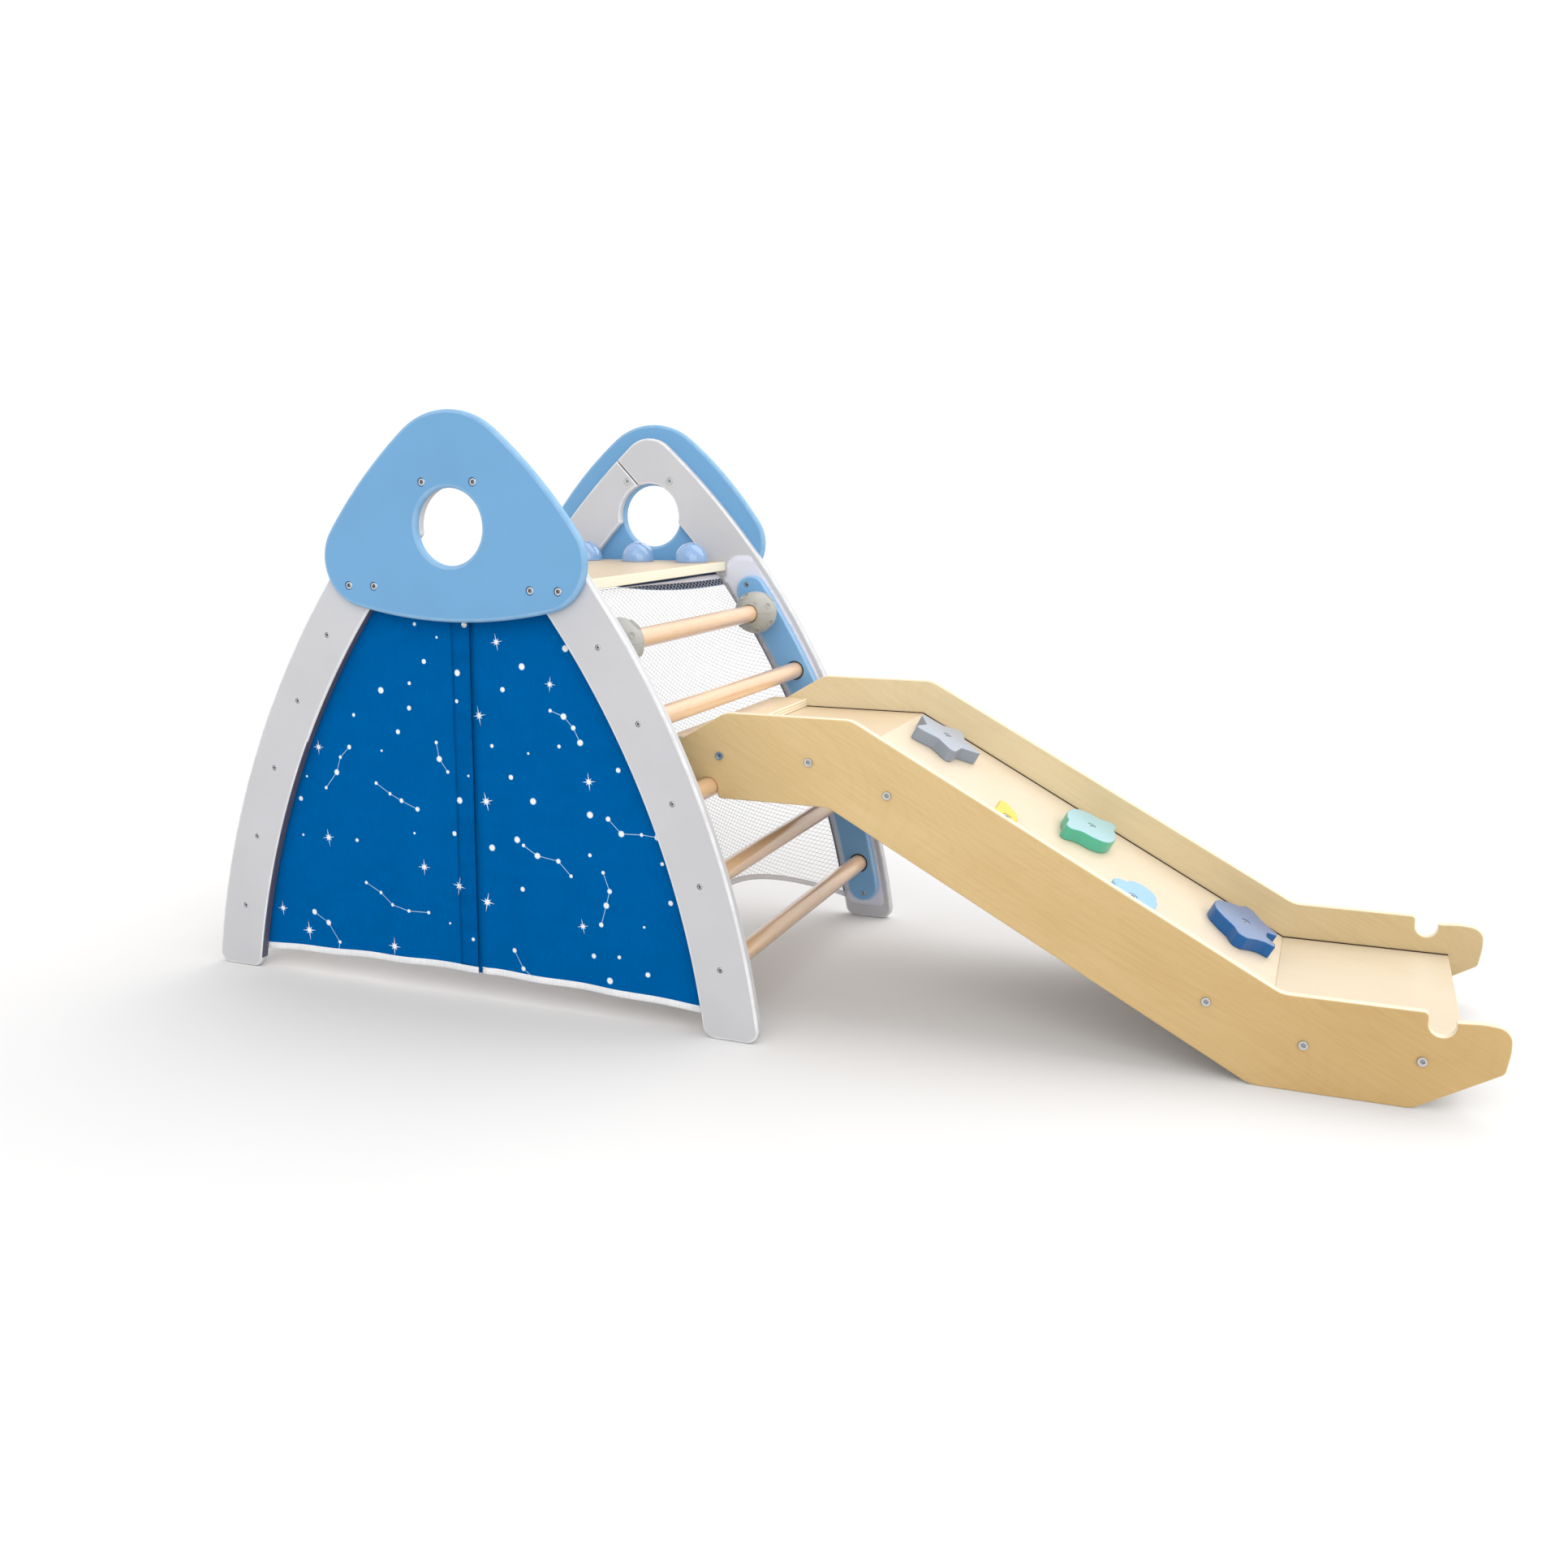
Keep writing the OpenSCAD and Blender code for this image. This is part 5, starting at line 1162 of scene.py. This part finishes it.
def star_print(seed, reach):
    """Scattered dots, sparkles and short linked chains inside reach(z) = (low x, high x)."""
    draw = random.Random(seed)
    marks, taken = [], []

    def room(x, z, radius):
        low, high = reach(z)
        inside = low + radius * 0.4 < x < high - radius * 0.4 and PRINT_LOW < z < PRINT_TOP
        return inside and all(math.hypot(x - a, z - b) > radius + r for a, b, r in taken)

    def spot(radius):
        for _ in range(400):
            z = draw.uniform(PRINT_LOW, PRINT_TOP)
            low, high = reach(z)
            x = draw.uniform(low, high)
            if room(x, z, radius):
                taken.append((x, z, radius))
                return x, z
        return None

    def star(x, z, radius):
        marks.append(("glow", disc(x, z, radius * 1.22, 18)))
        marks.append(("ink", disc(x, z, radius)))

    for count in (4, 5, 3, 4, 5, 4):
        place = spot(CHAIN_ROOM)
        if place is None:
            continue
        heading = draw.uniform(0, math.tau)
        chain = [Vector(place) - Vector((math.cos(heading), math.sin(heading))) * 42]
        for _ in range(count - 1):
            heading += draw.uniform(-0.9, 0.9)
            chain.append(chain[-1] + Vector((math.cos(heading), math.sin(heading))) * draw.uniform(22, 40))
        for a, b in zip(chain, chain[1:]):
            marks.append(("line", link(a, b)))
        for p in chain:
            star(p.x, p.y, draw.choice((2.7, 3.6, 4.5)))
    for _ in range(7):
        place = spot(SPARKLE_ROOM)
        if place:
            size = draw.uniform(13, 18)
            marks.append(("ink", sparkle(*place, size, draw.uniform(-0.2, 0.3))))
            marks.append(("glow", disc(*place, size * 0.3, 14)))
            marks.append(("ink", disc(*place, size * 0.22, 12)))
    for _ in range(22):
        place = spot(STAR_ROOM)
        if place:
            star(*place, draw.choice((1.9, 2.8, 3.7, 4.8)))
    return marks


LEVELS, CLOTH_PITCH, PLACKET_PITCH = 44, 9.0, 5.0
LEFT_SEED, RIGHT_SEED = 11, 24


def printed(name, outline, depth, marks, cloth, thickness, pitch):
    """A flat cut of printed cloth hung at its depth, and its flat area."""
    spots, triangles, marked = cut_cloth(outline, pitch, (), marks)
    points = [in_model(p.x, depth(p.x, p.y), p.y) for p in spots]
    kinds = {"cloth": cloth, "ink": CURTAIN_INK, "line": CURTAIN_LINE, "glow": CURTAIN_GLOW}
    obj = drawn(name, points, triangles, *kinds.values(), *[CURTAIN_BACK] * len(kinds))
    for polygon, mark in zip(obj.data.polygons, marked):
        polygon.material_index = list(kinds).index(mark)
    thickened(faced(obj, (0, -1, 0)), thickness, len(kinds))
    return obj, flat_area(spots, triangles) * MM * MM


def curtain_half(name, node, outline, depth, marks):
    obj, area = printed(name, outline, depth, marks, CURTAIN_BLUE, CLOTH_T, CLOTH_PITCH)
    return placed(obj, node, "curtain_cloth", node), area


def placket_y(x, z):
    """The facing along the parting: a second layer of cloth, puckered by its seam."""
    pucker = noise.noise((x / 11, 2.3, z / 26)) + 0.6 * noise.noise((x / 30, 7.1, z / 9))
    return left_y(x, z) - PLACKET_T - 0.1 - 0.55 * max(0.0, 0.3 + pucker) * min(1.0, (CLOTH_SPLIT + 1 - x) / 5)


def hem_strip(name, xs, depth):
    """A folded binding round the lower edge: a flat loop of points at each station."""
    points = []
    shape = [(-0.5, 0.6), (-0.55, HEM - 0.8), (-0.25, HEM), (CLOTH_T + 0.25, HEM), (CLOTH_T + 0.55, HEM - 0.8),
             (CLOTH_T + 0.5, 0.6), (CLOTH_T / 2 + 0.3, -0.3), (CLOTH_T / 2 - 0.3, -0.3)]
    for x in xs:
        low = cloth_low(x)
        for out, up in shape:
            points.append(in_model(x, depth(x, low + up) + out, low + up))
    obj = drawn(name, points, capped_faces(len(xs), len(shape)), HEM_WHITE)
    outward(obj.data)
    return placed(obj, "tower", "curtain_cloth")


def spread(low, high, count):
    return [low + (high - low) * k / count for k in range(count + 1)]


heights = spread(CLOTH_TOP, CLOTH_LOW, LEVELS)


def cloth_edge(way, radius):
    """The outer edge of a curtain half, down to its curved lower edge."""
    edge = [(way * leg_x(radius, z), z) for z in heights]
    return edge[:-1] + [(edge[-1][0], cloth_low(edge[-1][0]))]


left_edge, right_edge = cloth_edge(-1, CLOTH_EDGE_LEFT), cloth_edge(1, CLOTH_EDGE_RIGHT)
lap_x = CLOTH_SPLIT - CLOTH_LAP
left_xs = spread(left_edge[-1][0], CLOTH_SPLIT, 60)
right_xs = spread(lap_x, right_edge[-1][0], 66)
right_hem_xs = [x for x in right_xs if x > CLOTH_SPLIT + 1]
left_line = left_edge + [(x, cloth_low(x)) for x in left_xs[1:]] + [(CLOTH_SPLIT, z) for z in reversed(heights)]
right_line = right_edge + [(x, cloth_low(x)) for x in reversed(right_xs[:-1])] + [(lap_x, z) for z in reversed(heights)]
left_print = star_print(LEFT_SEED, lambda z: (-leg_x(LEG_RADIUS - LEG_HALF, z), CLOTH_SPLIT))
right_print = star_print(RIGHT_SEED, lambda z: (CLOTH_SPLIT, leg_x(LEG_RADIUS - LEG_HALF, z)))
curtain_left, left_area = curtain_half("curtain_left_cloth", "curtain_left", left_line, left_y, left_print)
curtain_right, right_area = curtain_half("curtain_right_cloth", "curtain_right", right_line, right_y, right_print)
left_hem = hem_strip("curtain_left_hem", left_xs[1:], left_y)
right_hem = hem_strip("curtain_right_hem", right_hem_xs[:-1], right_y)

placket_foot = cloth_low(CLOTH_SPLIT) + HEM + 0.8
placket_line = [(x, z) for x, zs in ((CLOTH_SPLIT - PLACKET, spread(CLOTH_TOP, placket_foot, LEVELS)),
                                     (CLOTH_SPLIT + 0.4, spread(placket_foot, CLOTH_TOP, LEVELS))) for z in zs]
placket, _ = printed("curtain_placket", placket_line, placket_y, left_print, PLACKET_BLUE, PLACKET_T, PLACKET_PITCH)
placed(placket, "tower", "curtain_cloth")
seam_lines = [[in_model(x, placket_y(x, z) - 0.15, z) for z in spread(CLOTH_TOP - 4, placket_foot + 1, 160)]
              for x in (CLOTH_SPLIT - PLACKET + 1.5, CLOTH_SPLIT - PLACKET + 4.5)]
placket_thread = stitched("placket_stitches", seam_lines, "tower", "curtain_cloth", BLUE_THREAD, thread=0.3)


def hem_line(xs, depth):
    """The line of a hem's stitches."""
    places = [(x, cloth_low(x) + HEM - HEM_SEAM) for x in xs]
    return [in_model(x, depth(x, z) - 0.6, z) for x, z in places]


left_hem_thread = stitched("left_hem_stitches", [hem_line(left_xs[1:], left_y)], "tower", "curtain_cloth", WHITE_THREAD)
right_hem_thread = stitched("right_hem_stitches", [hem_line(right_hem_xs, right_y)], "tower", "curtain_cloth",
                            WHITE_THREAD)


low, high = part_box("curtain_snap")
snap_mid, snap_r = (low + high) / 2, (high.x - low.x) / 2
# depth behind the snap's front in metres, and share of its radius
SNAP_SHAPE = [(0.0007, 1.0), (0.0003, 0.93), (0.0003, 0.72), (0.0009, 0.62), (0.0002, 0.5), (0.0, 0.2)]
snap_rings = [(high.y, snap_r)] + [(low.y + height, snap_r * share) for height, share in SNAP_SHAPE]
placed(turned("press_snap", snap_rings, snap_mid, BOLT_STEEL, 32), "curtain_snap", "fastener_steel", "curtain_snap")


# net: cords on the bias, closed by a hem above and below

NET_HALF = INNER_Y - TAPE_T - CLEAR
NET_TOP_ANGLE = leg_angle(TAPE_INNER, NET_TOP)
NET_LOW_ANGLE = leg_angle(TAPE_INNER, NET_LOW)
NET_WIDE, NET_HIGH, CORD_R = 15.0, 9.0, 0.34
NET_BORDER, NET_HEM, NET_LIFT, NET_FULL = 3.5, 11.0, 13.0, 2.5
NET_EASE = math.radians(13)


def net_dip(s):
    """Where the top edge lies at s millimetres from the near edge: above its held far corner if negative."""
    u = min(1.0, max(0.0, s / (2 * NET_HALF)))
    ease = min(1.0, max(0.0, (u - 0.25) / 0.75))
    return -NET_LIFT * (1 - ease * ease * (3 - 2 * ease))


def net_depth(s):
    """Length of the net below the height of its held top corners at s millimetres from its near edge."""
    u = s / (2 * NET_HALF)
    low = NET_LOW_ANGLE + NET_RISE / LEG_RADIUS * 4 * u * (1 - u)
    return (NET_TOP_ANGLE - low) * LEG_RADIUS


def net_point(s, t, lift=0.6):
    u = min(1.0, max(0.0, s / (2 * NET_HALF)))
    angle = NET_TOP_ANGLE - t / LEG_RADIUS
    drop = max(0.0, min(1.0, (NET_TOP_ANGLE - angle) / NET_EASE))
    sag = NET_SAG * (1 - abs(2 * u - 1) ** NET_FULL) * math.sin(math.pi / 2 * drop)
    x, z = leg_point(TAPE_INNER - 2 - sag + lift, angle)
    return in_model(x, (2 * u - 1) * NET_HALF, z)


def bias_lines(step=14.0):
    """Slanting runs of cord, both ways, from edge to edge of the net."""
    lines = []
    longest, wide = net_depth(0), 2 * NET_HALF
    run = NET_WIDE / NET_HIGH
    for way in (1, -1):
        first = -longest * run if way > 0 else 0.0
        last = wide if way > 0 else wide + longest * run
        for k in range(int((last - first) / NET_WIDE) + 1):
            s0 = first + (k + 0.5) * NET_WIDE
            runs = [(t, s0 + way * run * t) for t in spread(-NET_LIFT, longest, int(longest))]
            inside = [t for t, s in runs if 0 <= s <= wide and net_dip(s) <= t <= net_depth(s) - 2]
            if len(inside) > 2:
                count = max(1, round((inside[-1] - inside[0]) * math.hypot(1, run) / step))
                lines.append([net_point(s0 + way * run * t, t) for t in spread(inside[0], inside[-1], count)])
    return lines


def make_cord_tree():
    tree, given, out = geometry_tree("net_cords", [("Radius", FLOAT), ("Material", "NodeSocketMaterial")])
    line = add(tree, "GeometryNodeMeshToCurve", Mesh=given["Geometry"]).outputs[0]
    ring = add(tree, "GeometryNodeCurvePrimitiveCircle", Resolution=4, Radius=given["Radius"]).outputs[0]
    tube = add(tree, "GeometryNodeCurveToMesh", Curve=line, Profile_Curve=ring, Fill_Caps=True).outputs[0]
    ending(tree, out, tube, given["Material"])
    return tree


CORDS = make_cord_tree()


def band(name, rows, thickness, material):
    """A strip of cloth through rows of points, given a thickness."""
    count = len(rows[0])
    points = [p for row in rows for p in row]
    faces = [(r * count + k, r * count + k + 1, (r + 1) * count + k + 1, (r + 1) * count + k)
             for r in range(len(rows) - 1) for k in range(count - 1)]
    return thickened(faced(drawn(name, points, faces, material), (1, 0, 0)), thickness, offset=0.0)


net_lines = bias_lines()
net = grown(strung("net_mesh", net_lines), CORDS, Radius=CORD_R * MM, Material=NET_CORD)
placed(net, "net_panel", "net_cord", "net_panel")
across = spread(0.0, 2 * NET_HALF, 80)


def in_top_band(s, share):
    """A point of the band above the net, a share of the way up."""
    return net_point(s, net_dip(s) - share * min(NET_HEM, 0.8 + (NET_LIFT + net_dip(s)) * s / NET_HALF / 2), 0.0)


def down_net(s):
    """Points from the net's top edge to its lower one, s millimetres from its near edge."""
    return [net_point(s, net_dip(s) + (net_depth(s) - net_dip(s)) * k / 60, 0.0) for k in range(61)]


top_band = [[in_top_band(s, share) for s in across] for share in (0.0, 0.3, 0.7, 1.0)]
top_hem = placed(band("net_top_hem", top_band, 0.5, TAPE_CLOTH), "net_panel", "net_cord")
# the side borders are dark strips: painted shade where the legs' inner edges show through the net
borders = ("near", (0.0, NET_BORDER)), ("far", (2 * NET_HALF - NET_BORDER, 2 * NET_HALF))
side_shade_strips = [placed(band(f"net_{side}_border", [down_net(s) for s in edges], 0.5, NET_SHADE), "net_panel", "net_cord")
             for side, edges in borders]
low_band = [[net_point(s, net_depth(s) - t) for s in across] for t in (0.0, 3.0, NET_HEM - 3, NET_HEM)]
low_hem = placed(band("net_low_hem", low_band, 1.6, NET_BAND), "net_panel", "tape_cloth")
hem_thread = stitched("net_hem_stitches", [[net_point(s, net_depth(s) - NET_HEM + 2.5, 1.5) for s in across]],
                      "tower", "tape_cloth", WHITE_THREAD, thread=0.25)


# edge tapes of the net

def arc_line(radius, from_z, to_z, count):
    a, b = leg_angle(radius, from_z), leg_angle(radius, to_z)
    return [leg_point(radius, a + (b - a) * k / count) for k in range(count + 1)]


BOARD_HALF, BOARD_LOW = 166.0, 666.0
notch = (BOARD_HALF + 1.5, BOARD_LOW - 11)
top_x = leg_x(TAPE_OUTER, TAPE_TOP - 9)
foot_near, foot_far = (leg_x(TAPE_INNER, TAPE_LOW), TAPE_LOW), (leg_x(TAPE_OUTER, TAPE_LOW), TAPE_LOW)
tape_line = (arc_line(TAPE_OUTER, TAPE_LOW + 8, TAPE_TOP - 9, 40)
             + [(top_x - 4, TAPE_TOP - 3), (top_x - 11, TAPE_TOP), (notch[0] + 23, TAPE_TOP - 0.5),
                (notch[0] + 15, TAPE_TOP - 3), (notch[0] + 8, TAPE_TOP - 8), (notch[0] + 3, TAPE_TOP - 15),
                (notch[0], TAPE_TOP - 25), notch]
             + arc_line(TAPE_INNER, notch[1], TAPE_LOW + 8, 40)
             + [(foot_near[0] + 7, TAPE_LOW + 1), (foot_near[0] + 14, TAPE_LOW), (foot_far[0] - 12, TAPE_LOW),
                (foot_far[0] - 5, TAPE_LOW + 1)])
rung_spots = [middle_of(f"right_rung_{n}") for n in range(1, 6)]
rung_holes = [disc(p.x / MM - TOWER_X, p.z / MM, RUNG_R + RAIL_CLEAR, 40) for p in rung_spots]
tape_spots, tape_triangles, _ = cut_cloth(tape_line, 10.0, rung_holes)


RAIL_HALF = 29


def tape_ripple(x, z):
    """The tape lies flat under the rail and lifts a little along its free edges."""
    away = abs(math.hypot(x - LEG_CENTRE[0], z - LEG_CENTRE[1]) - LEG_RADIUS) - RAIL_HALF
    return max(0.0, min(1.0, away / 8)) * (0.5 + 0.5 * noise.noise((x / 30, 1.7, z / 30))) * 0.5


tape_seam = arc_line(TAPE_OUTER - 4, TAPE_LOW + 14, TAPE_TOP - 22, 60)
for side, way in (("near", 1), ("far", -1)):
    node = f"{side}_net_tape"
    points = [in_model(p.x, way * (-INNER_Y + TAPE_T - 0.05 + tape_ripple(p.x, p.y)), p.y) for p in tape_spots]
    tape = thickened(faced(drawn(f"{side}_tape_cloth", points, tape_triangles, TAPE_CLOTH), (0, way, 0)), TAPE_T - 0.1)
    placed(tape, node, "tape_cloth", node)
    seam = [in_model(x, way * (-INNER_Y + TAPE_T + 0.1 + tape_ripple(x, z)), z) for x, z in tape_seam]
    thread = stitched(f"{side}_tape_stitches", [seam], "tower", "tape_cloth", WHITE_THREAD)


# floor, light and camera

def make_floor():
    """A pale warm floor that throws back less light than it shows."""
    material, tree, shader, where = start("pale_floor", Roughness=0.9, Specular_IOR_Level=0.1)
    tone = ranged(tree, cloudy(tree, where.outputs["Object"], 1.2, 3.0), 0.3, 0.7)
    shown = blended(tree, tone, (0.862, 0.852, 0.846, 1.0), (0.878, 0.868, 0.862, 1.0))
    direct = tree.nodes.new("ShaderNodeLightPath").outputs["Is Camera Ray"]
    colour_in(tree, shader, blended(tree, direct, (0.64, 0.635, 0.635, 1.0), shown))
    reach = 30.0
    corners = [(-reach, -reach, 0), (reach, -reach, 0), (reach, reach, 0), (-reach, reach, 0)]
    obj = drawn("floor", corners, [(0, 1, 2, 3)], material)


def make_sky(lit, shine, mirrored, seen):
    """An even white room: its strength as light, in reflections of its front and back, and behind the object."""
    world = bpy.data.worlds.new("studio")
    bpy.context.scene.world = world
    world.use_nodes = True
    tree = world.node_tree
    background = tree.nodes["Background"]
    background.inputs["Color"].default_value = (1.0, 1.0, 1.0, 1.0)
    rays = tree.nodes.new("ShaderNodeLightPath").outputs
    way = add(tree, "ShaderNodeSeparateXYZ", Vector=tree.nodes.new("ShaderNodeTexCoord").outputs["Generated"]).outputs
    behind = ranged(tree, sums(tree, "MULTIPLY_ADD", way[2], 0.6, way[1]), -0.35, 0.45, shine, mirrored)
    level = add(tree, "ShaderNodeMapRange", Value=rays["Is Glossy Ray"], To_Min=lit, To_Max=behind).outputs[0]
    level = add(tree, "ShaderNodeMapRange", Value=rays["Is Camera Ray"], To_Min=level, To_Max=seen).outputs[0]
    tree.links.new(level, background.inputs["Strength"])


def make_lamp(name, towards, strength, softness):
    """An even light from a direction, as wide across the sky as softness in degrees."""
    light = bpy.data.lights.new(name, "SUN")
    light.energy = strength
    light.angle = math.radians(softness)
    lamp = bpy.data.objects.new(name, light)
    lamp.rotation_euler = Vector(towards).to_track_quat("Z", "Y").to_euler()
    bpy.context.scene.collection.objects.link(lamp)


def make_camera():
    yaw, pitch, roll = math.radians(23.59), math.radians(9.36), math.radians(-0.2)
    forward = Vector((-math.sin(yaw) * math.cos(pitch), math.cos(yaw) * math.cos(pitch), -math.sin(pitch)))
    right = Vector((math.cos(yaw), math.sin(yaw), 0.0))
    up = right.cross(forward)
    level, tilt = right * math.cos(roll) + up * math.sin(roll), up * math.cos(roll) - right * math.sin(roll)
    data = bpy.data.cameras.new("camera")
    data.lens, data.sensor_width = 33.9, 36.0
    data.shift_x, data.shift_y = 0.0535, -0.038
    camera = bpy.data.objects.new("camera", data)
    place = Matrix((level, tilt, -forward)).transposed().to_4x4()
    place.translation = Vector(in_model(1279.33, -2332.8, 839.0))
    camera.matrix_world = place
    bpy.context.scene.collection.objects.link(camera)
    bpy.context.scene.camera = camera


make_floor()
make_sky(lit=0.76, shine=0.85, mirrored=1.15, seen=1.2)
make_lamp("back_light", towards=(0.45, 0.45, 0.77), strength=1.45, softness=70)
make_lamp("front_light", towards=(0.05, -0.8, 0.6), strength=0.42, softness=45)
make_lamp("low_light", towards=(0.6, -0.78, 0.2), strength=0.85, softness=50)
make_camera()
bpy.context.scene.view_settings.view_transform = "Standard"
bpy.context.scene.view_settings.look = "None"

bpy.context.view_layer.update()
